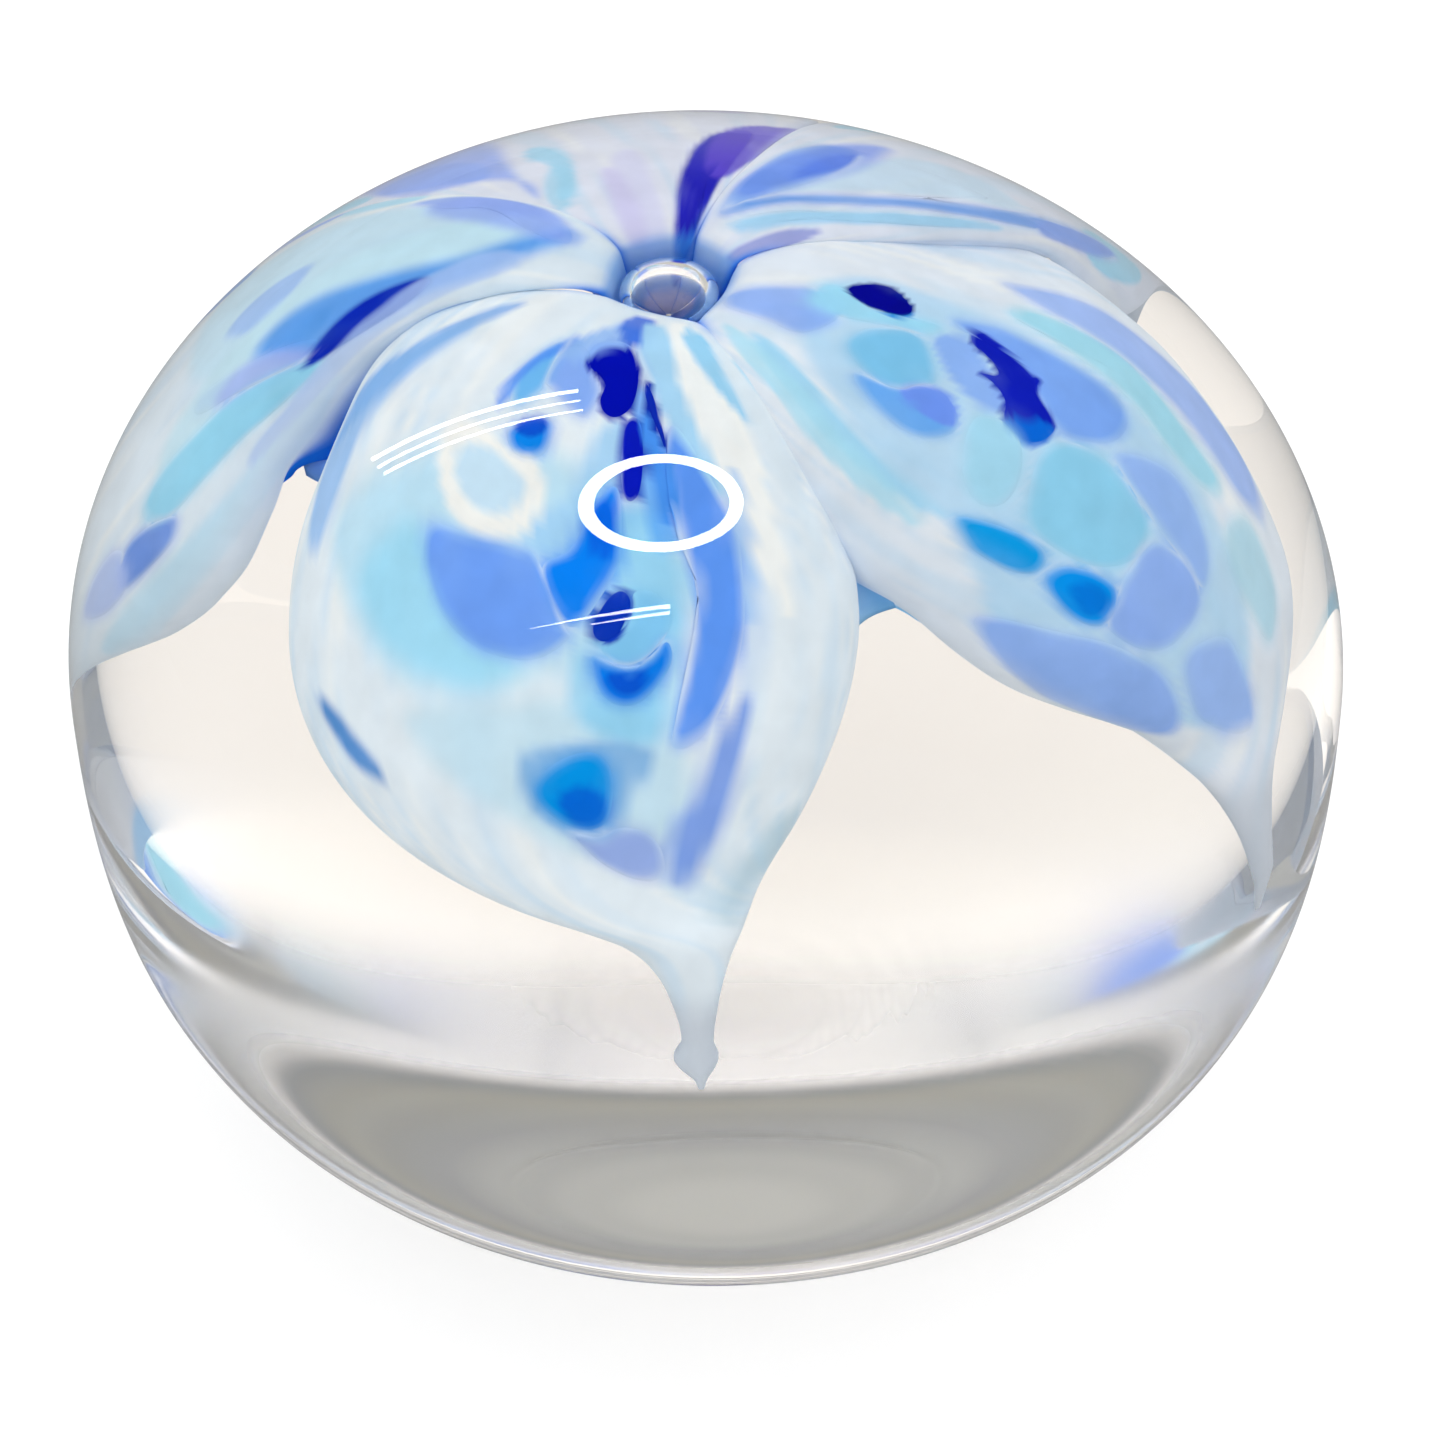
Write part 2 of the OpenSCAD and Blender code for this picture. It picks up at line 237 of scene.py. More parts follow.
# Colour patches, petal by petal: colour, softness in mm, strength, chip family, outline as (th, v).
PATCHES = [
    ("left", "8fb0f4", 0.55, 0.95, "", [(73, -0.62), (72.8, -0.51), (66.7, -0.47), (61.6, -0.49), (56.3, -0.52), (55, -0.62), (57.1, -0.71), (60.9, -0.79), (66.9, -0.78), (69.8, -0.69)]),
    ("left", "9ad4ee", 0.5, 0.95, "", [(89.6, -0.49), (86.5, -0.4), (82.1, -0.37), (77.4, -0.36), (73.5, -0.44), (72.6, -0.55), (72.7, -0.65), (77.3, -0.7), (82, -0.64), (86.2, -0.59)]),
    ("left", "3f94ea", 0.4, 0.95, "", [(80.2, -0.41), (78.2, -0.35), (75.9, -0.3), (72.1, -0.28), (69.6, -0.31), (67.3, -0.35), (68.6, -0.42), (72.5, -0.44), (75.7, -0.47), (79.8, -0.46)]),
    ("left", "8eb0f4", 0.5, 0.9, "", [(92.3, -0.12), (91.9, -0.03), (88.9, 0.03), (85.3, 0.01), (81.7, -0.02), (80.2, -0.12), (82.9, -0.19), (85.4, -0.24), (89.2, -0.29), (92.2, -0.21)]),
    ("left", "a6daf0", 0.7, 0.9, "", [(56.1, -0.57), (54.6, -0.5), (50.2, -0.48), (45.4, -0.48), (40.4, -0.53), (41, -0.63), (42.6, -0.69), (45.2, -0.75), (50.7, -0.73), (53.8, -0.65)]),
    ("left", "4a9ce8", 0.4, 0.9, "", [(94.6, -0.28), (93.5, -0.21), (92.1, -0.14), (89.7, -0.11), (88.4, -0.17), (88.2, -0.22), (87.8, -0.31), (89.8, -0.37), (92, -0.36), (93.8, -0.34)]),
    ("back_left", "7fb0f2", 0.7, 0.9, "", [(54.8, 0.42), (54.1, 0.49), (49.7, 0.56), (43.1, 0.53), (39.6, 0.47), (35.2, 0.42), (36.9, 0.34), (43.1, 0.31), (49.1, 0.31), (54.5, 0.35)]),
    ("back_left", "98d4ee", 0.5, 0.95, "", [(71.7, 0.6), (71.8, 0.69), (65.8, 0.7), (60.8, 0.66), (55.5, 0.63), (52.7, 0.56), (56.1, 0.49), (60.3, 0.46), (65.9, 0.47), (69.4, 0.54)]),
    ("back_left", "8eb0f4", 0.5, 0.95, "", [(85.6, 0.31), (82.8, 0.41), (78, 0.44), (73.5, 0.49), (68.6, 0.46), (68.3, 0.37), (69.6, 0.28), (73.4, 0.2), (78.2, 0.2), (82, 0.24)]),
    ("back_left", "9ad6f0", 0.5, 0.95, "", [(77.8, 0.02), (73.8, 0.09), (70.7, 0.15), (64.8, 0.17), (60.9, 0.1), (59.2, 0.02), (60.1, -0.07), (65.5, -0.1), (70.5, -0.1), (76.6, -0.08)]),
    ("back_left", "3f94ea", 0.4, 0.95, "", [(88.1, 0.07), (87.8, 0.15), (85.7, 0.21), (82.5, 0.17), (80.1, 0.11), (78.5, 0.03), (80.3, -0.05), (82.7, -0.07), (85.8, -0.1), (88.6, -0.02)]),
    ("back_left", "8eb0f4", 0.5, 0.9, "", [(86.3, -0.39), (86.3, -0.29), (82.2, -0.23), (77.9, -0.22), (73.8, -0.25), (73.4, -0.33), (75.3, -0.41), (77.6, -0.5), (82.5, -0.52), (84.8, -0.45)]),
    ("back_left", "c8c6f0", 0.7, 0.8, "", [(68.8, -0.28), (66.5, -0.23), (62.4, -0.2), (57.3, -0.19), (53.7, -0.23), (53.5, -0.28), (52.9, -0.34), (57.1, -0.38), (62.2, -0.35), (65.7, -0.33)]),
    ("back_left", "8eb0f4", 0.45, 0.85, "", [(94.1, 0.03), (93.3, 0.13), (92, 0.22), (90.1, 0.18), (89, 0.07), (87.9, -0.03), (88.1, -0.16), (90.1, -0.18), (91.8, -0.16), (93.6, -0.11)]),
    ("back_right", "9ad6f0", 0.6, 0.9, "", [(71.4, 0.39), (71, 0.48), (65.2, 0.53), (59.5, 0.52), (53.9, 0.51), (49.8, 0.45), (54.2, 0.37), (59.4, 0.33), (65.3, 0.29), (70.3, 0.33)]),
    ("back_right", "8eb0f4", 0.5, 0.9, "", [(84.8, 0.2), (82.9, 0.3), (78, 0.32), (73.6, 0.34), (68.1, 0.3), (68, 0.2), (70.5, 0.12), (73.4, 0.05), (78.5, 0.05), (82, 0.12)]),
    ("back_right", "98d4ee", 0.5, 0.9, "", [(82.8, -0.4), (79.3, -0.34), (76.3, -0.3), (71, -0.28), (67.3, -0.36), (67.2, -0.45), (67.4, -0.52), (71.4, -0.56), (76.3, -0.53), (81.1, -0.48)]),
    ("back_right", "3f94ea", 0.4, 0.9, "", [(90.2, -0.15), (89.5, -0.06), (87.8, 0.05), (84.3, 0.05), (82.5, -0.02), (81, -0.09), (81.8, -0.2), (84.6, -0.25), (87.7, -0.29), (90.6, -0.25)]),
    ("back_right", "98c8f2", 0.5, 0.85, "", [(88.2, 0.48), (88.7, 0.58), (85.7, 0.63), (82.6, 0.6), (80, 0.56), (78.8, 0.48), (80.3, 0.4), (82.4, 0.34), (85.8, 0.33), (87.5, 0.41)]),
    ("front", "b4dcf4", 2.2, 0.9, "", [(51.6, -0.32), (45.3, -0.28), (38.3, -0.17), (33.1, -0.06), (31, 0.06), (36.1, 0.12), (41.6, 0.13), (49.7, 0.1), (54, 0.07), (56.4, 0.02), (60.2, -0.07), (60, -0.16), (57.3, -0.23), (54.6, -0.28)]),
    ("front", "9ad6f2", 1.8, 0.9, "", [(53.5, -0.23), (47.8, -0.2), (44, -0.14), (50.1, -0.09), (53.8, -0.04), (54.9, 0.02), (57.8, -0.01), (59, -0.09), (58.2, -0.15), (56.2, -0.2)]),
    ("front", "bcdcec", 1.6, 0.8, "", [(64.2, -0.14), (59.9, -0.04), (57.7, 0.09), (57.2, 0.19), (63.1, 0.22), (69.1, 0.25), (73.5, 0.21), (73.6, 0.1), (71.1, 0.02), (68.2, -0.07)]),
    ("front", "9ccbee", 0.9, 0.9, "", [(26.6, 0.11), (25.6, 0.15), (32.4, 0.15), (35.9, 0.14), (38.8, 0.1), (42.4, 0.07), (43.4, 0.03), (41.6, 0.01), (38.6, 0.04), (36.6, 0.08), (31.9, 0.09)]),
    ("front", "8ccdee", 1.2, 0.9, "", [(36.7, 0.14), (35.6, 0.18), (41.4, 0.22), (47.5, 0.21), (53.4, 0.19), (61.1, 0.19), (62.3, 0.14), (59.6, 0.08), (53.9, 0.07), (51.4, 0.09), (44.9, 0.12)]),
    ("front", "5fa8f2", 0.7, 0.9, "", [(20.7, 0.16), (23.9, 0.21), (29.4, 0.22), (35.5, 0.24), (40.9, 0.21), (41, 0.19), (37.3, 0.18), (32.2, 0.18), (25.5, 0.17)]),
    ("front", "96c6f4", 0.5, 0.9, "", [(12.3, 0.08), (12.2, 0.19), (17.8, 0.28), (23.9, 0.33), (30.6, 0.36), (36.1, 0.36), (34, 0.33), (28.5, 0.29), (24.3, 0.24), (20.1, 0.19)]),
    ("front", "7cc4ea", 0.4, 0.8, "", [(12.5, 0.22), (13.2, 0.3), (19, 0.35), (25.2, 0.4), (30, 0.41), (27, 0.37), (21.5, 0.32), (16.7, 0.27)]),
    ("front", "c4d8f4", 0.8, 0.7, "", [(31.4, 0.33), (33.3, 0.36), (41.3, 0.34), (48.8, 0.32), (56.3, 0.31), (61.9, 0.3), (54, 0.28), (46, 0.29), (38.4, 0.32)]),
    ("front", "6c9cf4", 0.5, 1.0, "periwinkle", [(43.9, -0.13), (43.4, -0.07), (42.5, 0.01), (43.6, 0.03), (46.4, 0.04), (50.5, 0.06), (51.1, 0.07), (53.8, 0.04), (54.7, 0.01), (54.6, -0.04), (53, -0.08), (50.5, -0.11), (47.5, -0.13)]),
    ("front", "5c94f0", 0.6, 1.0, "periwinkle", [(25.2, 0.24), (28, 0.28), (33.5, 0.31), (39.3, 0.32), (46, 0.29), (51.9, 0.28), (58.8, 0.26), (62.2, 0.23), (62.5, 0.2), (59.2, 0.2), (54.2, 0.21), (48.7, 0.22), (41.4, 0.23), (35.5, 0.23), (30.7, 0.23)]),
    ("front", "067ef0", 0.45, 1.0, "azure", [(43.9, 0.03), (42.3, 0.07), (39.7, 0.09), (36.2, 0.11), (33.4, 0.14), (35.8, 0.15), (41.6, 0.14), (44.3, 0.12), (48.1, 0.09), (49.7, 0.08), (50.3, 0.06), (47.5, 0.04)]),
    ("front", "0a5fe4", 0.5, 0.8, "", [(38.8, 0.1), (36.1, 0.12), (35.9, 0.14), (41.3, 0.13), (42.7, 0.11)]),
    ("front", "84aaf6", 0.35, 1.0, "periwinkle", [(23.9, -0.06), (18.1, -0.09), (17.5, -0.02), (22, 0.08), (25.5, 0.08), (26.9, 0.06), (24.2, -0.02)]),
    ("front", "62b2ee", 0.45, 0.95, "aqua", [(25.3, -0.12), (19.9, -0.13), (17.6, -0.1), (23.4, -0.05), (25.4, -0.04), (28.6, -0.07)]),
    ("front", "4c8cf0", 0.35, 0.8, "", [(28.7, -0.11), (24.7, -0.12), (20.3, -0.12), (16.5, -0.08), (16.7, -0.04), (20.5, -0.1), (24.9, -0.11), (28.7, -0.09)]),
    ("front", "000cac", 0.22, 1.0, "navy", [(18.5, -0.01), (16.1, -0.01), (15.1, 0.1), (19.2, 0.16), (23.8, 0.16), (25.7, 0.13), (25.3, 0.1), (23.6, 0.08), (21.9, 0.09), (20.3, 0.05), (20.1, 0.02)]),
    ("front", "0618b8", 0.25, 1.0, "navy", [(25.1, 0.15), (25.4, 0.18), (29.5, 0.19), (34.3, 0.18), (35.8, 0.16), (34.1, 0.15), (29.8, 0.15)]),
    ("front", "0a84ea", 0.4, 1.0, "azure", [(30.4, -0.06), (27.2, 0.01), (30.3, 0.03), (32.5, 0.02), (33.4, -0.01), (32.5, -0.04)]),
    ("front", "0c48cc", 0.35, 0.9, "", [(30, -0.05), (27.7, -0), (29.9, 0.01), (30.9, -0.02)]),
    ("front", "f2f1ec", 0.6, 0.9, "", [(36.2, -0.15), (33.9, -0.15), (31.4, -0.11), (33.6, -0.03), (33.1, 0.02), (37.5, 0.04), (41.2, 0.01), (42.8, -0.04), (42.4, -0.09), (39.7, -0.12)]),
    ("front", "bcdcf2", 0.6, 0.9, "", [(35.1, -0.12), (33.5, -0.07), (35.1, -0.02), (36.1, 0.01), (38.2, 0), (40.2, -0.03), (40.3, -0.06), (38.3, -0.1)]),
    ("front", "7ec2ec", 0.3, 1.0, "aqua", [(51.8, 0.1), (53.5, 0.12), (53.4, 0.15), (50.4, 0.18), (47.8, 0.19), (45.4, 0.17), (45.5, 0.14), (48.7, 0.14), (51.2, 0.11)]),
    ("front", "0b35b4", 0.25, 1.0, "navy", [(46.6, 0.11), (45.4, 0.13), (46.7, 0.14), (48.8, 0.13), (50.9, 0.12), (51.4, 0.1), (49.8, 0.09)]),
    ("front", "0678e6", 0.3, 1.0, "azure", [(52.6, 0.09), (53.3, 0.11), (53.9, 0.13), (53.3, 0.16), (50.4, 0.18), (53, 0.19), (56.1, 0.17), (57.9, 0.15), (57.8, 0.12), (55.7, 0.1)]),
    ("front", "0848cc", 0.4, 0.8, "", [(54.7, 0.11), (54.8, 0.14), (54.1, 0.16), (56.4, 0.15), (56.7, 0.13)]),
    ("front", "78acde", 0.7, 0.85, "", [(64.3, 0.02), (62.2, 0.09), (61.9, 0.17), (64.2, 0.18), (67.6, 0.16), (71.9, 0.15), (71.9, 0.1), (70, 0.04), (66.7, 0.03)]),
    ("front", "0290e2", 0.4, 1.0, "azure", [(65.7, 0.05), (63.5, 0.08), (62.8, 0.11), (64.2, 0.13), (66.5, 0.14), (70, 0.14), (71.1, 0.12), (71, 0.09), (69.2, 0.05), (67.4, 0.04)]),
    ("front", "045fd2", 0.55, 0.9, "", [(68.1, 0.07), (66.7, 0.1), (67.7, 0.13), (70, 0.13), (70.5, 0.1)]),
    ("front", "90a8e2", 0.4, 1.0, "periwinkle", [(71.4, 0.09), (72, 0.13), (70.6, 0.15), (71, 0.19), (73.1, 0.22), (75.6, 0.23), (76.6, 0.21), (76.1, 0.17), (74.6, 0.13), (73.2, 0.11)]),
    ("front", "7398e4", 1.1, 0.95, "", [(60.1, 0.27), (57.3, 0.3), (62.7, 0.3), (68.9, 0.31), (73.5, 0.3), (76.6, 0.285), (77.6, 0.25), (75.5, 0.245), (70.9, 0.23), (68.7, 0.25), (65.4, 0.26)]),
    # painted shade: a soft grey-blue patch that darkens the front petal towards its right edge
    ("front", "9cc0d2", 1.3, 0.55, "", [(72.4, 0.43), (72.8, 0.56), (76.9, 0.57), (79.3, 0.49), (82.6, 0.41), (81.3, 0.35), (79.5, 0.38), (76.2, 0.41)]),
    ("front", "2f80cc", 0.8, 0.9, "", [(67.9, -0.315), (67.6, -0.275), (68.8, -0.225), (70.6, -0.185), (71.8, -0.185), (71.6, -0.215), (70.6, -0.255), (69.5, -0.295)]),
    ("front", "6a9fe0", 0.6, 0.8, "", [(43, -0.43), (40.7, -0.46), (32.6, -0.4), (26.9, -0.4), (21.7, -0.41), (16.9, -0.41), (22, -0.36), (27.3, -0.35), (33.1, -0.34), (39.6, -0.36), (48.7, -0.48)]),
    ("front", "8fb8f4", 0.5, 0.9, "", [(19.3, -0.08), (14.6, -0.05), (11.8, 0.06), (15.2, 0.14), (16.4, 0.02), (19.9, -0.01)]),
    ("front", "3068dc", 0.4, 0.9, "", [(12.4, -0.02), (9.3, 0.07), (12.6, 0.2), (15.6, 0.16), (14.9, 0.07)]),
    ("front", "a4d2f2", 0.35, 0.95, "", [(11, 0.08), (11.6, 0.22), (19, 0.31), (27.2, 0.33), (35.8, 0.34), (32.7, 0.3), (25.5, 0.26), (18.7, 0.19)]),
    ("front", "eef1f5", 0.35, 0.95, "", [(9.7, 0.24), (10.7, 0.4), (21.7, 0.44), (31.1, 0.44), (42, 0.39), (51.4, 0.36), (46.6, 0.34), (37.5, 0.34), (27.9, 0.32), (18.5, 0.28)]),
    ("front", "86c8ec", 0.3, 0.9, "", [(11.7, 0.32), (12.7, 0.46), (20, 0.47), (27.4, 0.48), (24.5, 0.43), (18.7, 0.37)]),
    ("front", "3f8cec", 0.3, 0.9, "", [(21, 0.18), (26.9, 0.22), (31.7, 0.24), (36.9, 0.23), (38.4, 0.21), (35.5, 0.2), (30.2, 0.2), (24.7, 0.18)]),
    ("front", "0c2ab0", 0.14, 1.0, "navy", [(20.1, 0.17), (21.7, 0.2), (27, 0.23), (29.2, 0.23), (27, 0.22), (23.5, 0.19)]),
    ("front", "d8e6f4", 0.4, 0.9, "", [(13.9, 0.49), (15.1, 0.57), (23.7, 0.55), (31.9, 0.55), (40, 0.51), (48.7, 0.47), (46.7, 0.45), (38.7, 0.46), (30.5, 0.47), (22.4, 0.46)]),
    ("front", "a9d8f2", 0.35, 0.85, "", [(19.2, 0.67), (23.8, 0.68), (23.9, 0.59), (17.3, 0.55)]),
    ("front", "9cc4f4", 0.5, 0.7, "", [(30.5, 0.36), (36, 0.36), (42, 0.33), (49.1, 0.3), (50.3, 0.28), (43.2, 0.3), (37.3, 0.32)]),
    ("front", "86b6ec", 1.1, 0.75, "", [(51.2, -0.47), (46.2, -0.48), (40.5, -0.45), (33, -0.41), (24.4, -0.38), (24.9, -0.33), (31.9, -0.33), (38.1, -0.33), (44.9, -0.35), (51, -0.34), (55.2, -0.35), (56.1, -0.4)]),
    ("right", "a9d2ee", 1.0, 0.8, "", [(16.5, -0), (18.4, 0.16), (25.2, 0.23), (31, 0.2), (37.9, 0.18), (45.5, 0.15), (54.2, 0.09), (61.6, 0.02), (70.7, -0.01), (78.2, -0.06), (85.6, -0.14), (91.1, -0.29), (87.8, -0.47), (79.1, -0.6), (65.3, -0.57), (47.8, -0.32), (39, -0.35), (30.1, -0.32), (20.2, -0.23)]),
    ("right", "84aaf2", 0.5, 0.9, "periwinkle", [(7.2, -0.1), (11.7, 0.04), (18.6, 0.11), (21.5, 0.03), (20.6, -0.09), (18.9, -0.2), (15.1, -0.2), (9.8, -0.27)]),
    ("right", "98d6f4", 0.35, 0.95, "aqua", [(16.2, 0.02), (18.4, 0.16), (21.5, 0.12), (23.8, 0.05), (29.1, 0.09), (32.9, 0.1), (31.5, 0.04), (26, 0.02), (21.9, -0.02), (18.6, -0.04)]),
    ("right", "76bfe8", 0.35, 0.95, "aqua", [(23.2, -0.12), (24.2, -0.02), (29.5, 0.05), (32.4, -0.02), (34.7, -0.08), (33.3, -0.1), (31.3, -0.17), (27, -0.17)]),
    ("right", "62a4ee", 0.35, 0.95, "azure", [(26.4, -0.18), (32, -0.16), (32.6, -0.11), (35.9, -0.09), (39.5, -0.14), (39.3, -0.19), (37, -0.24), (31.9, -0.24), (27.7, -0.22)]),
    ("right", "6c90ee", 0.3, 0.9, "", [(31.7, -0.15), (34, -0.09), (37.3, -0.1), (39.4, -0.15), (37.5, -0.17), (33.8, -0.17)]),
    ("right", "84acf4", 0.4, 0.9, "", [(31.5, 0.04), (35.4, 0.09), (38.6, 0.02), (41.9, -0.04), (42.4, -0.08), (38.3, -0.07), (34.5, -0.03)]),
    ("right", "7aa6f6", 0.35, 1.0, "periwinkle", [(32.8, 0.13), (38.8, 0.16), (43.5, 0.13), (49.2, 0.11), (54.9, 0.07), (56.9, 0.03), (55.7, -0.03), (52.1, -0.05), (48.8, -0.05), (45.1, 0.01), (40.8, 0.07), (35.8, 0.1)]),
    ("right", "0a86dc", 0.25, 0.9, "", [(26.1, 0.19), (29.1, 0.12), (28.1, 0.07), (25.2, 0.05)]),
    ("right", "02048c", 0.16, 1.0, "navy", [(20.1, 0.12), (23.3, 0.19), (26.2, 0.2), (28.9, 0.12), (27.8, 0.08), (25.5, 0.07), (22.7, 0.07)]),
    ("right", "0c1cb4", 0.18, 1.0, "navy", [(36.1, 0.11), (37.8, 0.12), (40.3, 0.09), (43.4, 0.04), (45, 0.04), (44.8, 0.01), (47.9, -0.03), (48.7, -0.05), (47.7, -0.09), (45.5, -0.1), (42.8, -0.08), (42.4, -0.04), (40.3, -0.01), (37.9, -0), (40.9, 0.01), (38.9, 0.05), (36.4, 0.07)]),
    ("right", "0468d8", 0.3, 0.9, "", [(43, -0.09), (45.3, -0.06), (48.3, -0.04), (48.6, -0.07), (47.4, -0.1), (45.2, -0.1)]),
    ("right", "a0d6ee", 0.4, 0.9, "aqua", [(41.1, -0.18), (39.9, -0.1), (43.5, -0.08), (46.4, -0.11), (48.5, -0.17), (49.6, -0.24), (47.5, -0.27), (43.7, -0.24)]),
    ("right", "8ccdec", 0.28, 1.0, "aqua", [(48.5, -0.11), (49.9, -0.06), (54.3, -0.06), (60, -0.09), (64.5, -0.12), (65.6, -0.17), (64.6, -0.22), (61.2, -0.26), (56, -0.27), (52.6, -0.25), (49.7, -0.17)]),
    ("right", "0a9ae6", 0.32, 1.0, "azure", [(46.6, -0.32), (49.4, -0.29), (53, -0.28), (56.6, -0.28), (58.1, -0.3), (58.4, -0.34), (56.1, -0.37), (52, -0.37), (49.4, -0.35)]),
    ("right", "0590ea", 0.32, 1.0, "azure", [(59.2, -0.34), (59.3, -0.29), (62.4, -0.26), (66, -0.25), (68.3, -0.28), (69.2, -0.33), (67.3, -0.36), (63.2, -0.36)]),
    ("right", "0470d8", 0.5, 0.8, "", [(62, -0.31), (63.5, -0.28), (66.3, -0.28), (67.4, -0.31), (66.1, -0.34)]),
    ("right", "93b6fa", 0.32, 1.0, "periwinkle", [(55.5, -0.05), (59.9, -0.02), (64.9, -0.01), (69.8, -0.04), (74.2, -0.09), (76, -0.14), (72.7, -0.14), (66.2, -0.12), (60.4, -0.09)]),
    ("right", "8eb0f4", 0.32, 1.0, "periwinkle", [(65.9, -0.23), (65.8, -0.14), (69.3, -0.13), (75.3, -0.14), (77, -0.2), (77.2, -0.29), (73.7, -0.33), (69.3, -0.34), (67.4, -0.27)]),
    ("right", "8fb2f6", 0.5, 1.0, "periwinkle", [(58.8, -0.54), (61.5, -0.47), (67.1, -0.4), (74.3, -0.34), (80, -0.34), (86.3, -0.42), (90.2, -0.57), (87, -0.71), (79.3, -0.66), (71.4, -0.64), (64.4, -0.59)]),
    ("right", "97b8f4", 0.4, 1.0, "periwinkle", [(80.3, -0.3), (79.3, -0.23), (81.9, -0.16), (85.6, -0.18), (91.6, -0.2), (93.2, -0.24), (91.4, -0.37), (87.3, -0.4)]),
    ("right", "9cd6ea", 0.4, 0.95, "aqua", [(43.3, 0.25), (49.5, 0.22), (55.2, 0.18), (61.4, 0.12), (67.9, 0.07), (73.2, 0.04), (71.4, -0), (64.8, 0.01), (58.1, 0.06), (52.2, 0.11), (45.6, 0.17), (41, 0.2)]),
    ("right", "96b4f4", 0.5, 0.9, "periwinkle", [(41, 0.33), (48.8, 0.33), (56.8, 0.3), (65.9, 0.26), (74.1, 0.23), (80.5, 0.23), (81.8, 0.12), (78.1, 0.07), (73.5, 0.07), (66.6, 0.11), (58.6, 0.15), (51.3, 0.21), (46, 0.26)]),
    ("right", "a8d4e6", 0.5, 0.85, "aqua", [(73.7, -0.01), (77.4, 0.06), (83.8, 0.04), (86.1, -0.01), (87.8, -0.08), (82.3, -0.09), (76.8, -0.07)]),
    ("right", "98d2f0", 0.45, 0.9, "", [(15.2, -0.32), (18.9, -0.31), (25.8, -0.34), (34, -0.35), (41.8, -0.34), (47.4, -0.34), (42.4, -0.37), (35.3, -0.41), (28, -0.43), (20.4, -0.42)]),
    ("right", "a8dcf4", 0.4, 0.8, "", [(12.3, -0.4), (16.5, -0.38), (23.8, -0.39), (33.2, -0.39), (41.7, -0.38), (47.1, -0.39), (41.4, -0.43), (33.9, -0.47), (25.9, -0.5), (17.9, -0.52)]),
    ("left", "bedff4", 1.0, 0.85, "", [(71.5, -0.33), (59, -0.43), (37.1, -0.37), (21.5, -0.45), (12.8, -0.16), (17.7, -0.01), (27.1, 0.18), (40.2, 0.22), (47.9, 0.24), (55.8, 0.21), (62.5, 0.11)]),
    ("left", "8eaaf2", 1.1, 0.8, "periwinkle", [(42.9, -0.46), (33.4, -0.61), (28, -0.64), (19.1, -0.56), (13.4, -0.2), (14.7, -0.06), (20, -0.18), (27.8, -0.41), (34.8, -0.35)]),
    ("left", "3c84dc", 0.45, 0.9, "", [(53.5, 0.18), (48.1, 0.18), (41, 0.22), (44.5, 0.33), (50.3, 0.27)]),
    ("left", "84a4f0", 0.5, 0.9, "periwinkle", [(62.1, 0.17), (55.1, 0.23), (47.9, 0.28), (42.6, 0.37), (48.5, 0.4), (56.1, 0.31), (61.6, 0.24)]),
    ("left", "4a80dc", 0.6, 0.9, "azure", [(81.2, 0.42), (77.2, 0.32), (71.7, 0.34), (67.9, 0.41), (71.2, 0.45), (77.3, 0.43)]),
    ("left", "aabff2", 0.7, 0.85, "periwinkle", [(87, 0.36), (82.5, 0.29), (76.6, 0.3), (78.4, 0.42), (83.7, 0.44)]),
    ("left", "bcdef2", 0.8, 0.8, "", [(91, 0.62), (78.9, 0.47), (68.9, 0.5), (61.4, 0.57), (52.3, 0.64), (45.6, 0.62), (42.1, 0.69), (50.4, 0.83), (61.3, 0.72), (69.2, 0.65), (86.5, 0.75)]),
    ("left", "8ab0ee", 0.6, 0.7, "", [(59.8, 0), (54.8, -0.09), (48.4, -0.13), (49.4, 0.05), (54.5, 0.11)]),
    ("left", "c0e2f4", 1.2, 0.8, "", [(58.1, 0.15), (51.5, 0.06), (42.4, -0.05), (32.2, -0.14), (21.6, -0.37), (13.6, -0.24), (19.2, 0.12), (28.5, 0.3), (36.8, 0.37), (45.9, 0.39), (58, 0.36), (67, 0.33), (68.8, 0.2)]),
    ("left", "3a90ea", 1.5, 0.85, "", [(53.1, 0.23), (50.1, 0.15), (44.4, 0.13), (37.5, 0.15), (27.3, 0.18), (18.7, -0.07), (14.9, -0.33), (13.4, -0.24), (17.7, 0.14), (23.5, 0.36), (30.1, 0.42), (36.9, 0.44), (44.4, 0.45), (50.3, 0.29)]),
    ("left", "9fb2f4", 1.2, 0.8, "", [(59.6, 0.26), (55, 0.23), (47.5, 0.31), (44.3, 0.41), (48.7, 0.43), (55.2, 0.4)]),
    ("left", "8ed2ee", 0.8, 0.95, "aqua", [(73.3, 0.29), (69.3, 0.25), (61.4, 0.28), (53.5, 0.34), (46.1, 0.41), (42.7, 0.49), (46.7, 0.53), (55.8, 0.5), (63, 0.42), (69.9, 0.39)]),
    ("left", "0628b4", 0.5, 1.0, "navy", [(46.6, 0.45), (44, 0.37), (39.4, 0.31), (34.2, 0.27), (28.5, 0.27), (30.1, 0.41), (35.3, 0.51), (41.7, 0.49)]),
    ("left", "8ea8f4", 1.2, 0.8, "", [(38.9, -0.41), (32, -0.59), (24.4, -0.61), (14.7, -0.3), (13.8, -0.14), (18.2, -0.11), (26, -0.23), (32.9, -0.24)]),
    ("left", "a8c4f2", 0.6, 0.7, "", [(24.3, 0.11), (17.9, 0.08), (18.9, 0.28), (26.8, 0.47), (37.8, 0.65), (49.1, 0.64), (58.7, 0.6), (58.6, 0.55), (49.8, 0.55), (38.8, 0.46), (30.2, 0.3)]),
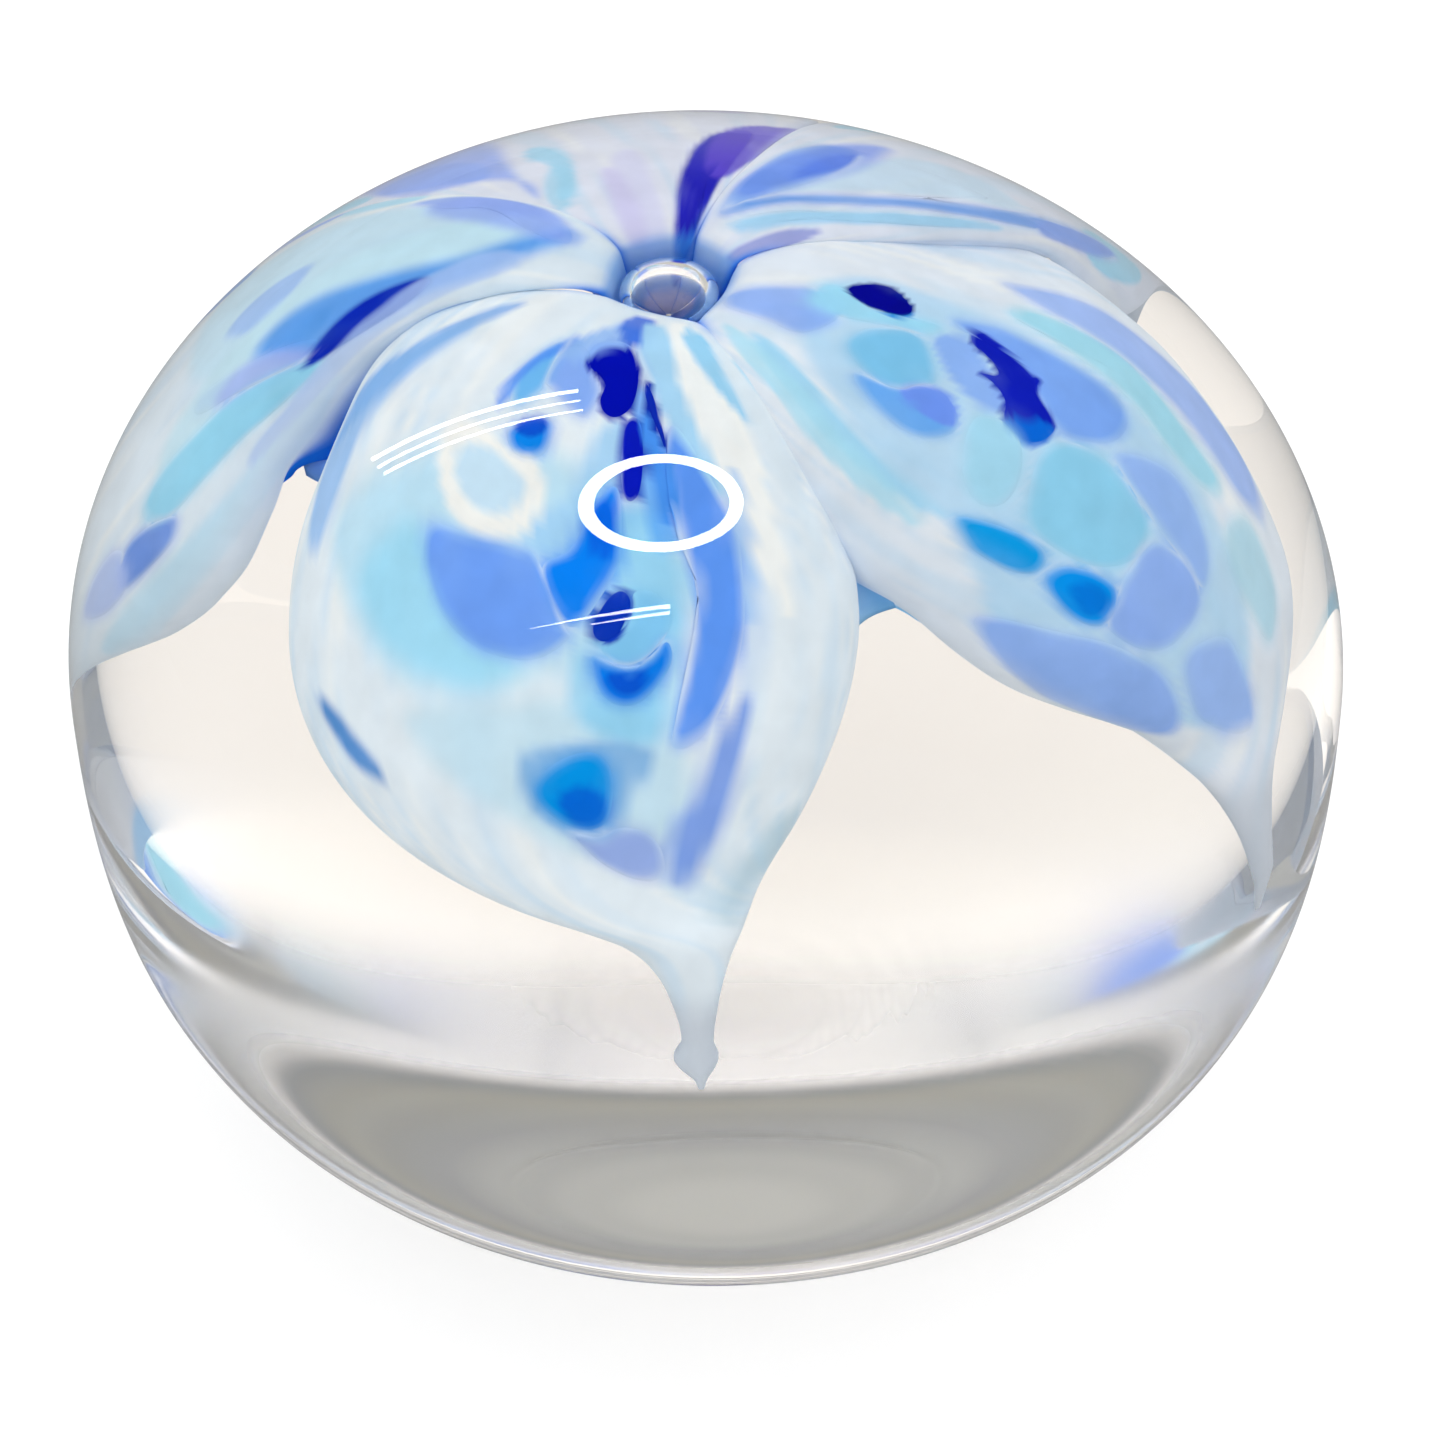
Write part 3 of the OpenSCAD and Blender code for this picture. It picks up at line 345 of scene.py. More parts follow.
    ("back_left", "d2d4f0", 0.9, 0.8, "", [(28, 0.03), (30, -0.07), (15.3, -0.08), (3.5, -0.07), (3.3, 0.25), (15.1, 0.17)]),
    ("back_left", "a6d6ee", 0.6, 0.8, "", [(30.5, 0.21), (26.9, 0.19), (19.5, 0.3), (17.4, 0.66), (19.2, 0.59)]),
    ("back_right", "8cb4f0", 0.6, 0.85, "periwinkle", [(15.4, 0.52), (30.2, 0.47), (40.1, 0.33), (41.1, 0.15), (32, 0.07), (19.3, 0.12), (13.9, 0.33)]),
    ("back_right", "3a5edc", 0.4, 0.95, "azure", [(22, 0.16), (31.4, 0.26), (38.5, 0.2), (39, 0.12), (31, 0.09), (26.2, 0.12)]),
    ("back_right", "c0dcf0", 0.8, 0.8, "", [(16.3, 0.29), (28.2, -0.05), (40.6, -0.23), (55.6, -0.36), (53.4, -0.14), (48, 0.04), (36.1, 0.07)]),
    ("back_right", "6a9ee8", 0.35, 0.95, "azure", [(13.7, 0.47), (19, 0.1), (29.9, -0.15), (43, -0.31), (55.3, -0.37), (77, -0.36), (71.8, -0.46), (53, -0.5), (41.5, -0.39), (28.7, -0.22), (17.6, 0.02), (13, 0.26)]),
    ("back_right", "7ea0ec", 0.5, 0.9, "periwinkle", [(53.8, -0.39), (67.7, -0.33), (77.7, -0.36), (70.4, -0.49), (54.5, -0.57)]),
    ("back_right", "a4d2ee", 0.45, 0.8, "aqua", [(11.2, 0.29), (16.6, -0.05), (31, -0.31), (44.6, -0.46), (39.9, -0.54), (23.7, -0.32), (12.9, -0.1)]),
    ("back_left", "2422b8", 0.45, 1.0, "navy", [(0.6, -0.23), (11, -0.21), (21.3, -0.25), (31.9, -0.28), (37.9, -0.35), (40.6, -0.46), (26.9, -0.49), (16.6, -0.51), (9.2, -0.51), (0.5, -0.42)]),
    ("back_left", "5a44cc", 0.7, 0.9, "", [(29.5, -0.32), (39.8, -0.35), (44.4, -0.46), (53.3, -0.94), (40.9, -0.93), (30.2, -0.62), (21.4, -0.56), (18.8, -0.39)]),
    ("back_right", "5a86ec", 1.4, 0.75, "", [(17.2, 0.5), (25.6, 0.45), (35.2, 0.33), (44.6, 0.23), (47.1, 0.13), (34.7, 0.06), (25.2, 0.11), (17.2, 0.17)]),
    ("back_right", "8f98d8", 0.45, 0.85, "", [(5.1, -0.42), (8.9, -0.32), (13.1, -0.3), (17.2, -0.35), (19.8, -0.44), (15.3, -0.73), (11.9, -0.8)]),
    ("back_right", "9fd0f0", 0.5, 0.8, "", [(12.7, 0.11), (17.6, -0.13), (27.5, -0.3), (40.3, -0.43), (47.1, -0.48), (46.5, -0.55), (38, -0.49), (25.9, -0.37), (16.6, -0.24), (11.8, -0.06)]),
    ("back_left", "a2d6f0", 0.5, 0.9, "", [(40.5, 0.17), (37.2, 0.14), (29.8, 0.15), (22.1, 0.26), (18.2, 0.5), (21.1, 0.4), (25.9, 0.25), (31.7, 0.2), (35.3, 0.23)]),
    ("back_left", "c9c6ec", 0.8, 0.7, "", [(24.1, 0.1), (23, 0.05), (13.6, 0.08), (5.8, 0.14), (5.6, 0.39), (13.7, 0.23)]),
    ("back_left", "8ea8f4", 1.2, 0.85, "", [(42.4, 0.63), (37.7, 0.49), (33.9, 0.38), (26.1, 0.37), (22.4, 0.56), (103.2, 0.01), (35.1, 1)]),
]


def hash01(i, j, k, seed):
    n = (i * 374761393 + j * 668265263 + k * 2147483647 + seed * 974634777) & 0xFFFFFFFF
    n = ((n ^ (n >> 13)) * 1274126177) & 0xFFFFFFFF
    return ((n ^ (n >> 16)) & 0xFFFF) / 65535.0


def noise2(x, y, seed):
    """Smooth value noise in -1..1."""
    xi, yi = np.floor(x).astype(np.int64), np.floor(y).astype(np.int64)
    fx, fy = x - xi, y - yi
    fx, fy = fx * fx * (3 - 2 * fx), fy * fy * (3 - 2 * fy)
    g = lambda a, b: hash01(a & 0xFFFF, b & 0xFFFF, 7, seed)
    v = (g(xi, yi) * (1 - fx) + g(xi + 1, yi) * fx) * (1 - fy) + (g(xi, yi + 1) * (1 - fx) + g(xi + 1, yi + 1) * fx) * fy
    return v * 2 - 1


def flat_coords(p, T, V):
    """Millimetres along and across the petal, unrolled."""
    w = petal_frame(p, T)[6]
    return RF * np.radians(T), w * np.radians(ROLL) * V / FACE


def chaikin(pts, n=2):
    for _ in range(n):
        q = np.roll(pts, -1, 0)
        pts = np.stack([pts * 0.75 + q * 0.25, pts * 0.25 + q * 0.75], 1).reshape(-1, 2)
    return pts


def signed_distance(poly, x, y):
    """Below zero inside the closed outline."""
    d = np.full(x.shape, 1e9)
    inside = np.zeros(x.shape, bool)
    for i in range(len(poly)):
        (ax, ay), (bx, by) = poly[i - 1], poly[i]
        ex, ey = bx - ax, by - ay
        t = np.clip(((x - ax) * ex + (y - ay) * ey) / (ex * ex + ey * ey + 1e-9), 0, 1)
        d = np.minimum(d, (x - ax - t * ex) ** 2 + (y - ay - t * ey) ** 2)
        cross = (ay > y) != (by > y)
        with np.errstate(divide="ignore", invalid="ignore"):
            inside ^= cross & (x < (bx - ax) * (y - ay) / (by - ay + 1e-12) + ax)
    d = np.sqrt(d)
    return np.where(inside, -d, d)


def patch_outline(patch):
    p, _, _, _, _, pts = patch
    k = np.array(pts, float)
    s, t = flat_coords(p, k[:, 0], k[:, 1])
    return chaikin(np.stack([s, t], 1), 2)


def mix(col, c, f):
    return col * (1 - f[:, None]) + c[None] * f[:, None]


def paint(p, T, V, O):
    s, t = flat_coords(p, T, V)
    seed = 11 + list(PETALS).index(p)
    # the glass was drawn out from the bubble, so the colours waver along the pull
    ws = s + 0.16 * noise2(s / 2.4, t / 1.9, seed) + 0.03 * noise2(s / 0.8, t / 0.7, seed + 1)
    wt = t + 0.12 * noise2(s / 3.0 + 9, t / 1.9, seed + 2) + 0.025 * noise2(s / 0.9, t / 0.6 + 5, seed + 3)
    a = np.abs(V) / FACE
    base = {"front": "dde8f0", "right": "dde6f2", "back_right": "dbe2f4", "back_left": "dde2f2", "left": "d9e6f4"}[p]
    col = np.repeat(rgb(base)[None], len(T), 0)
    # faint pulled streaks
    st = noise2(t / 0.9, s / 9.0, seed + 5)
    col = mix(col, rgb("c2dcf0"), 0.5 * smooth((st - 0.1) / 0.7))
    col = mix(col, rgb("f0f2f4"), 0.5 * smooth((-st - 0.25) / 0.6))
    # blue pooled where the petals meet under the bubble
    col = mix(col, rgb("5a9cec"), 0.85 * (1 - smooth((T + 2) / 7.5)))
    col = mix(col, rgb("b9c6fa"), 0.9 * (1 - smooth((T + 4) / 5)))
    tone = 1 + 0.07 * noise2(s / 2.6, t / 2.0, seed + 8)
    one, two = np.full(len(T), 9.0), np.full(len(T), 9.0)
    for patch in PATCHES:
        if patch[0] != p:
            continue
        _, c, soft, strength, fam, pts = patch
        d = signed_distance(patch_outline(patch), ws, wt)
        if fam in ("periwinkle", "aqua", "azure"):
            two = np.where(d < one, one, np.minimum(two, d))
            one = np.minimum(one, d)
            halo = 1 - smooth((d + 0.15) / 0.85)
            f = strength * (0.38 * halo + 0.62 * (1 - smooth((d + 0.50) / 0.70)))
        elif fam == "navy":
            f = strength * (1 - smooth((d - 0.10 + soft * 0.6) / (soft * 1.3)))
        else:
            f = strength * (1 - smooth((d - 0.14 + soft * 0.55) / (soft * 1.1)))
        col = mix(col, rgb(c), f * np.clip(tone, 0, 1))
    # neighbouring cells of melted frit meet along thin milky lines
    line = np.exp(-((two - one) / 0.30) ** 2) * (1 - smooth((one + 0.1) / 0.8)) * smooth((one + 0.35) / 0.3)
    col = mix(col, rgb("d3e2f4"), 0.55 * line)
    # bright blue shows in the seams round the bubble
    seam = (1 - smooth((T - 9) / 7)) * smooth((a - 0.50) / 0.4)
    col = mix(col, rgb("2a8af0"), 0.85 * seam)
    col = mix(col, rgb("3f9af2"), 0.6 * (1 - smooth((T - 5.5) / 3.5)) * smooth((T + 3) / 3))
    # the rolled margin is painted a milky grey: the milky glass of the margin, and painted shade where it turns under
    m = smooth((a - 0.66) / 0.2) * smooth((T - 22) / 12)
    col = mix(col, rgb("dfe6ee"), 0.55 * m * (1 - smooth((T - 88) / 6)))
    if p in ("front", "right"):
        under = smooth((np.abs(V) - FACE) / 0.12) * (1 - smooth((T - 66) / 4))
        side = V < 0 if p == "front" else V < 0
        if p == "front":
            col = np.where((side & (under > 0))[:, None], mix(col, rgb("9cc0ec"), under), col)
        deep = rgb("1f78dc") if (p == "front") else rgb("8cc6ee")
        fade = smooth((T - 36) / 14) if p == "front" else 1.0
        col = np.where((side & (under > 0))[:, None], mix(col, deep, under * fade), col)
        if p == "front":
            col = np.where(((V > 0) & (under > 0))[:, None], mix(col, rgb("9ccdee"), under), col)
    if p == "left":
        under = smooth((V - FACE) / 0.12) * (1 - smooth((T - 66) / 4))
        col = mix(col, rgb("a4c0e6"), under)
        col = mix(col, rgb("1468d0"), under * smooth((T - 36) / 14))
    # the drawn-out tail
    tail = smooth((T - (87 if p == "front" else 94)) / 5)
    col = mix(col, rgb("c3cbd6"), tail * 0.85)
    inner = (O < 0.25) * (1 - smooth((a - 0.72) / 0.2))
    col = mix(col, rgb("e9e7e2"), 0.88 * inner)
    return np.clip(col / GAIN[None], 0.0, 0.97)


def chip_meshes(family):
    """Low lens-shaped frit chips melted into the petals, one for each outline of that family."""
    P_, F_, C_ = [], [], []
    total = 0
    top = [(0.3, 0.085), (0.55, 0.078), (0.75, 0.062), (0.9, 0.038), (1.0, 0.008), (1.06, -0.05)]
    low = [(1.0, -0.26), (0.9, -0.34), (0.75, -0.38), (0.55, -0.40), (0.3, -0.41)]
    for patch in PATCHES:
        if patch[4] != family:
            continue
        p, _, soft, _, _, pts = patch
        end = PETALS[p]["end"]

        def lift(q, h):
            th = np.clip(np.degrees(q[:, 0] / RF), -13, end - 1)
            w = petal_frame(p, th)[6]
            v = np.clip(q[:, 1] / (w * math.radians(ROLL)), -1, 1) * FACE
            dv = face_point(p, th, np.clip(v + 0.002, -1, 1)) - face_point(p, th, np.clip(v - 0.002, -1, 1))
            du = face_point(p, th + 0.05, v) - face_point(p, th - 0.05, v)
            nr = np.cross(dv, du)
            nr /= np.linalg.norm(nr, axis=1)[:, None] + 1e-12
            mid = petal_frame(p, th)
            out = face_point(p, th, v) - place(p, th, np.zeros_like(th), depth_of(mid[6], th) * 1.5 + 1.0)
            nr *= np.where((nr * out).sum(1) < 0, -1, 1)[:, None]
            return face_point(p, th, v) + nr * h, th, v

        k = np.array(pts, float)
        out = chaikin(np.stack(flat_coords(p, k[:, 0], k[:, 1]), 1), 3)
        c, n = out.mean(0), len(out)
        A, TH, VV = [], [], []
        for r, h in top + low:
            a, b, d = lift(c + (out - c) * r, h)
            A.append(a); TH.append(b); VV.append(d)
        for h in (0.087, -0.42):
            a, b, d = lift(c[None], h)
            A.append(a); TH.append(b); VV.append(d)
        A, TH, VV = np.concatenate(A), np.concatenate(TH), np.concatenate(VV)
        m = len(top) + len(low)
        f = [(i * n + j, (i + 1) * n + j, (i + 1) * n + (j + 1) % n, i * n + (j + 1) % n) for i in range(m - 1) for j in range(n)]
        f += [(m * n, j, (j + 1) % n) for j in range(n)]
        f += [(m * n + 1, (m - 1) * n + (j + 1) % n, (m - 1) * n + j) for j in range(n)]
        vol = sum(float(np.dot(A[q[0]], np.cross(A[q[i]], A[q[i + 1]]))) for q in f for i in range(1, len(q) - 1))
        if vol < 0:
            f = [q[::-1] for q in f]
        P_.append(A)
        F_ += [tuple(i + total for i in q) for q in f]
        C_.append(paint(p, TH, VV, np.ones(len(TH))))
        total += len(A)
    return np.concatenate(P_), F_, np.concatenate(C_)


WEBS = {   # between two petals, from th 18 to the arch: its two edges by th, its colours
    "front_right": dict(left=[(18, 294.0), (28, 297.0), (41, 302.0), (50, 302.5), (57, 299.5)], right=[(18, 297.5), (28, 301.5), (41, 307.5), (50, 312.5), (57, 319.5)], end=56.5, c0="c4e2f6", c1="5a9cd4"),
    "front_left": dict(left=[(18, 180), (28, 174), (38, 174), (46, 178), (58, 183)], right=[(18, 185), (28, 180), (38, 181), (46, 188.5), (58, 200)], end=58.5, c0="8fb8ea", c1="0f62cc"),
    "back_right_side": dict(left=[(18, 20), (45, 28.5), (60, 31.5)], right=[(18, 25), (45, 32), (60, 36)], end=60, c0="9cc8ee", c1="d2e2f0"),
    "back_middle": dict(left=[(18, 67), (56, 68), (62, 67.5)], right=[(18, 71), (56, 73), (62, 75)], end=60, c0="5074d8", c1="c4d4f0"),
    "back_left_side": dict(left=[(18, 135.5), (56, 133.5), (60, 132.5)], right=[(18, 140), (56, 139.5), (60, 140.5)], end=59, c0="a8cdf0", c1="d2e2f0"),
}


def web_mesh(q):
    W = WEBS[q]
    nu, nt_ = 25, 44
    us = np.linspace(-1, 1, nu)
    rows = []
    for k in range(nt_):
        f = k / (nt_ - 1)
        th = 18 + (W["end"] - 18) * f - 2.2 * f * (1 - us ** 2) * smooth(f)
        L_, R_ = curve(W["left"], th), curve(W["right"], th)
        phi = np.radians((L_ + R_) / 2 + us * (R_ - L_) / 2)
        depth = 2.9 + 3.3 * smooth((th - 18) / 25) + 1.3 * (1 - us ** 2)
        if q == "front_left":
            depth = depth - 0.6 * (1 + us) * smooth((th - 44) / 14)
        if q == "front_right":
            depth = 2.1 + 4.2 * smooth((th - 24) / 24) + 1.3 * (1 - us ** 2) * smooth((th - 36) / 12)
        rows.append((th, phi, depth))
    out, inn = [], []
    for th, phi, depth in rows:
        for lst, extra in ((out, 0.0), (inn, 1.1)):
            r = RF - depth - extra
            lst.append(np.stack([FLOWER[0] + r * np.sin(np.radians(th)) * np.cos(phi), FLOWER[1] + r * np.sin(np.radians(th)) * np.sin(phi), FLOWER[2] + r * np.cos(np.radians(th))], -1))
    # closed band: outer face, rounded lower rim, inner face
    grid = out + [(out[-1] + inn[-1]) / 2 + 0.45 * (out[-1] - out[-2]) / np.linalg.norm(out[-1] - out[-2], axis=1)[:, None]] + inn[::-1]
    G = np.array(grid)
    m, n = G.shape[0], G.shape[1]
    pts = G.reshape(-1, 3)
    faces = [(i * n + j, i * n + j + 1, (i + 1) * n + j + 1, (i + 1) * n + j) for i in range(m - 1) for j in range(n - 1)]
    faces += [((m - 1) * n + j, (m - 1) * n + j + 1, j + 1, j) for j in range(n - 1)]
    for j, flip in ((0, False), (n - 1, True)):
        ring = [i * n + j for i in range(m)]
        c = len(pts)
        pts = np.vstack([pts, pts[ring].mean(0)])
        for i in range(m):
            f = (c, ring[i], ring[(i + 1) % m])
            faces.append(f if not flip else f[::-1])
    faces = [f[::-1] for f in faces]
    fr = np.concatenate([np.full(n, i / (nt_ - 1)) for i in range(nt_)] + [np.ones(n)] + [np.full(n, i / (nt_ - 1)) for i in range(nt_)][::-1] + [np.array([0.5, 0.5])])
    x = np.concatenate([us] * m + [np.array([-1, 1])])
    g = np.clip(fr * 0.75 + 0.25 * x * (1 if q == "front_right" else 1) + 0.1 * noise2(x * 3, fr * 5, 31), 0, 1)
    col = rgb(W["c0"])[None] * (1 - g[:, None]) + rgb(W["c1"])[None] * g[:, None]
    return pts, faces, np.clip(col / GAIN[None], 0, 0.97)


# ------------------------------------------------------------------ MESHES
MM = 0.001


def add_mesh(name, pts, faces, node_names, lean=False, attrs=None):
    pts = np.array(pts, float)
    if lean:
        pts[:, 0] -= LEAN * (pts[:, 2] - 30.0)
    me = bpy.data.meshes.new(name)
    me.from_pydata((pts * MM).tolist(), [], faces)
    me.update()
    me.shade_smooth()
    ob = bpy.data.objects.new(name, me)
    bpy.context.scene.collection.objects.link(ob)
    for key, val in (attrs or {}).items():
        if val.ndim == 2:
            at = me.color_attributes.new(key, "FLOAT_COLOR", "POINT")
            at.data.foreach_set("color", np.c_[val, np.ones(len(val))].astype(np.float32).ravel())
        else:
            at = me.attributes.new(key, "FLOAT", "POINT")
            at.data.foreach_set("value", val.astype(np.float32))
    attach(ob, "root")
    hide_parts(*node_names)
    return ob


def revolve(profile_pts, n):
    """Closed surface of revolution about Z from a list of (r, z), first and last on the axis."""
    prof = profile_pts[1:-1]
    a = np.arange(n) * 2 * math.pi / n
    pts = [(r * math.cos(t), r * math.sin(t), z) for r, z in prof for t in a]
    faces = []
    for i in range(len(prof) - 1):
        for j in range(n):
            k = (j + 1) % n
            faces.append((i * n + j, i * n + k, (i + 1) * n + k, (i + 1) * n + j))
    lo, hi = len(pts), len(pts) + 1
    pts += [(0, 0, profile_pts[0][1]), (0, 0, profile_pts[-1][1])]
    last = (len(prof) - 1) * n
    for j in range(n):
        k = (j + 1) % n
        faces.append((lo, k, j))
        faces.append((hi, last + j, last + k))
    return pts, faces


def body_profile():
    """The glass body from the centre of its ground base up to its crown."""
    r0 = BODY_R * (1 - (WAIST / CUT) ** POWER) ** (1 / POWER)
    edge = 0.35
    prof = [(0, 0)] + [(r, 0.0) for r in np.linspace(0.4, r0 - edge, 46)]
    a0 = math.asin((WAIST / CUT) ** (POWER / 2))
    prof += [(r0 - edge * 0.45, 0.05), (r0 - 0.02, 0.17)]
    for a in np.linspace(a0 - 0.008, 0, 120):
        c, s = math.cos(a), math.sin(a)
        r, z = BODY_R * c ** (2 / POWER), WAIST - CUT * s ** (2 / POWER)
        if z > 0.3:
            prof.append((r, z))
    for a in np.linspace(0, math.pi / 2, 130)[1:-1]:
        prof.append((BODY_R * math.cos(a), WAIST + (BODY_H - WAIST) * math.sin(a)))
    return prof + [(0, BODY_H)]


def ellipsoid(c, a, b, nu=72, nv=36, inward=True):
    prof = [(a * math.sin(t), b * -math.cos(t)) for t in np.linspace(0, math.pi, nv)]
    prof[0], prof[-1] = (0, -b), (0, b)
    pts, faces = revolve(prof, nu)
    pts = (np.array(pts) + np.array(c)).tolist()
    if inward:
        faces = [tuple(reversed(f)) for f in faces]
    return pts, faces


# ------------------------------------------------------------------ MATERIALS
def principled(name):
    m = bpy.data.materials.new(name)
    m.use_nodes = True
    nt = m.node_tree
    return m, nt, nt.nodes["Principled BSDF"]


def glass_material():
    m, nt, b = principled("clear_glass")
    # base colour: the glass's own tint, plus the painted shade of the ground base
    ct = nt.nodes.new("ShaderNodeAttribute")
    ct.attribute_name = "tint_and_shade"
    nt.links.new(ct.outputs["Color"], b.inputs["Base Color"])
    at = nt.nodes.new("ShaderNodeAttribute")
    at.attribute_name = "ground"
    mr = nt.nodes.new("ShaderNodeMapRange")
    mr.inputs["To Max"].default_value = 0.55
    nt.links.new(at.outputs["Fac"], mr.inputs["Value"])
    nt.links.new(mr.outputs["Result"], b.inputs["Roughness"])
    mt = nt.nodes.new("ShaderNodeMapRange")
    mt.inputs["To Min"].default_value, mt.inputs["To Max"].default_value = 1.0, 0.3
    cl = nt.nodes.new("ShaderNodeAttribute")
    cl.attribute_name = "cloud"
    nt.links.new(cl.outputs["Fac"], mt.inputs["Value"])
    nt.links.new(mt.outputs["Result"], b.inputs["Transmission Weight"])
    b.inputs["IOR"].default_value = 1.5
    return m


def opal_material(name):
    m, nt, b = principled(name)
    at = nt.nodes.new("ShaderNodeAttribute")
    at.attribute_name = "paint"
    tc = nt.nodes.new("ShaderNodeTexCoord")
    no = nt.nodes.new("ShaderNodeTexNoise")
    no.inputs["Scale"].default_value = 420
    no.inputs["Detail"].default_value = 4
    nt.links.new(tc.outputs["Object"], no.inputs["Vector"])
    mr = nt.nodes.new("ShaderNodeMapRange")
    mr.inputs["From Min"].default_value, mr.inputs["From Max"].default_value = 0.3, 0.7
    mr.inputs["To Min"].default_value, mr.inputs["To Max"].default_value = 0.94, 1.03
    nt.links.new(no.outputs["Fac"], mr.inputs["Value"])
    mx = nt.nodes.new("ShaderNodeVectorMath")
    mx.operation = "SCALE"
    nt.links.new(at.outputs["Color"], mx.inputs[0])
    nt.links.new(mr.outputs["Result"], mx.inputs["Scale"])
    nt.links.new(mx.outputs["Vector"], b.inputs["Base Color"])
    b.inputs["Roughness"].default_value = 0.7
    b.inputs["Specular IOR Level"].default_value = 0.0
    bp = nt.nodes.new("ShaderNodeBump")
    bp.inputs["Strength"].default_value = 0.12
    bp.inputs["Distance"].default_value = 0.0002
    nt.links.new(no.outputs["Fac"], bp.inputs["Height"])
    nt.links.new(bp.outputs["Normal"], b.inputs["Normal"])
    return m


def emitter_material(name, strength, color=(1, 1, 1)):
    m = bpy.data.materials.new(name)
    m.use_nodes = True
    nt = m.node_tree
    for n in list(nt.nodes):
        nt.nodes.remove(n)
    out = nt.nodes.new("ShaderNodeOutputMaterial")
    em = nt.nodes.new("ShaderNodeEmission")
    em.inputs["Strength"].default_value = strength
    em.inputs["Color"].default_value = (*color, 1)
    nt.links.new(em.outputs[0], out.inputs["Surface"])
    return m


# ------------------------------------------------------------------ THE PIECES
glass = glass_material()
pts, faces = revolve(body_profile(), 320)
pts = np.array(pts, float)
bub_p, bub_f = ellipsoid((-2.1 + LEAN * 20.9, 2.5, 50.9), 2.62, 1.75)
off = len(pts)
pts = np.vstack([pts, bub_p])
faces += [tuple(i + off for i in f) for f in bub_f]
# the base was ground by hand: an oval matt patch, wider than deep. Its grey, lighter in the middle and darker out
# towards the rim, and its faint rings are painted shade carried in the glass's tint
rad = np.hypot(pts[:, 0], pts[:, 1])
rim = np.minimum(20.3 + 0.030 * pts[:, 0] ** 2, 26.0)
low = pts[:, 2] < 12
ground = np.where(low, 0.35 + 0.65 * (1 - smooth((rad - rim + 1.4) / 1.3)), 0.0) * np.where(low, 1 - smooth((rad - rim + 0.4) / 6.0), 0.0)
cloud = np.where(low, 1 - smooth((rad - rim + 1.6) / 1.7), 0.0)
q = rad / rim
# faint concentric rings painted into the grey shade of the base
painted_rings = 0.5 + 0.5 * np.sin(rad * 3.1 + 0.8 * np.sin(rad * 0.9))
# painted shade for the ground base: grey, lighter in the middle and darker out towards the rim
shade = np.stack([curve([(0, v0), (0.50, v0), (0.70, v1), (0.80, v2), (0.88, v3), (0.95, v4), (1.06, v5)], q) for v0, v1, v2, v3, v4, v5 in
                  ((0.69, 0.52, 0.32, 0.36, 0.22, 0.36), (0.70, 0.53, 0.33, 0.355, 0.235, 0.37), (0.64, 0.50, 0.33, 0.30, 0.25, 0.38))], 1)
shade *= 1 - 0.06 * painted_rings[:, None]
clear = np.array([[0.985, 0.93, 0.865]])
band = np.where(low, 1 - smooth((rad - rim) / 3.0), 0.0)[:, None]
# the glass's own warm tint, with the painted shade of the base mixed in where it is clouded
tint_and_shade = clear * (1 - band) + np.array([[1.0, 0.945, 0.855]]) * band
tint_and_shade = tint_and_shade * (1 - cloud[:, None]) + shade * cloud[:, None]
body = add_mesh("glass_body", pts, faces, ["clear_casing", "inner_core"], lean=True, attrs={"ground": ground, "cloud": cloud, "tint_and_shade": tint_and_shade})
body.data.materials.append(glass)

opal = opal_material("opal_glass")
for p in PETALS:
    pts, faces, T, V, O = petal_mesh(p)
    col = paint(p, T, V, O)
    ob = add_mesh("petal_" + p + "_glass", pts, faces, ["petal_" + p], attrs={"paint": col})
    ob.data.materials.append(opal)

for fam in ("navy", "azure", "periwinkle", "aqua"):
    pts, faces, col = chip_meshes(fam)
    ob = add_mesh(fam + "_chips_glass", pts, faces, [fam + "_chips"], attrs={"paint": col})
    ob.data.materials.append(opal)

for q, owner in (("front_right", "petal_front"), ("front_left", "petal_left"), ("back_right_side", "petal_back_right"), ("back_middle", "petal_back_left"), ("back_left_side", "petal_back_left")):
    pts, faces, col = web_mesh(q)
    ob = add_mesh("web_" + q + "_glass", pts, faces, [owner], attrs={"paint": col})
    ob.data.materials.append(opal)
# ------------------------------------------------------------------ STAGE
floor_me = bpy.data.meshes.new("floor")
floor_me.from_pydata([(-3, -3, 0), (3, -3, 0), (3, 3, 0), (-3, 3, 0)], [], [(0, 1, 2, 3)])
floor = bpy.data.objects.new("floor", floor_me)
bpy.context.scene.collection.objects.link(floor)
fm, nt, b = principled("floor_card")
b.inputs["Roughness"].default_value = 0.9
b.inputs["Specular IOR Level"].default_value = 0.0
# a pale sheet lit a little from below, quieter where it only mirrors in the glass
lp = nt.nodes.new("ShaderNodeLightPath")
only = nt.nodes.new("ShaderNodeMath")
only.operation = "SUBTRACT"
only.use_clamp = True
nt.links.new(lp.outputs["Is Glossy Ray"], only.inputs[0])
nt.links.new(lp.outputs["Is Transmission Ray"], only.inputs[1])
dim = nt.nodes.new("ShaderNodeMapRange")
dim.inputs["To Min"].default_value, dim.inputs["To Max"].default_value = 1.0, 0.30
nt.links.new(only.outputs["Value"], dim.inputs["Value"])
for sock, level in (("Base Color", 0.36), ("Emission Color", 1.0)):
    sc = nt.nodes.new("ShaderNodeVectorMath")
    sc.operation = "SCALE"
    sc.inputs[0].default_value = (level, level, level)
    nt.links.new(dim.outputs["Result"], sc.inputs["Scale"])
    nt.links.new(sc.outputs["Vector"], b.inputs[sock])
b.inputs["Emission Strength"].default_value = 0.62
floor_me.materials.append(fm)
floor.location.z = -0.00003


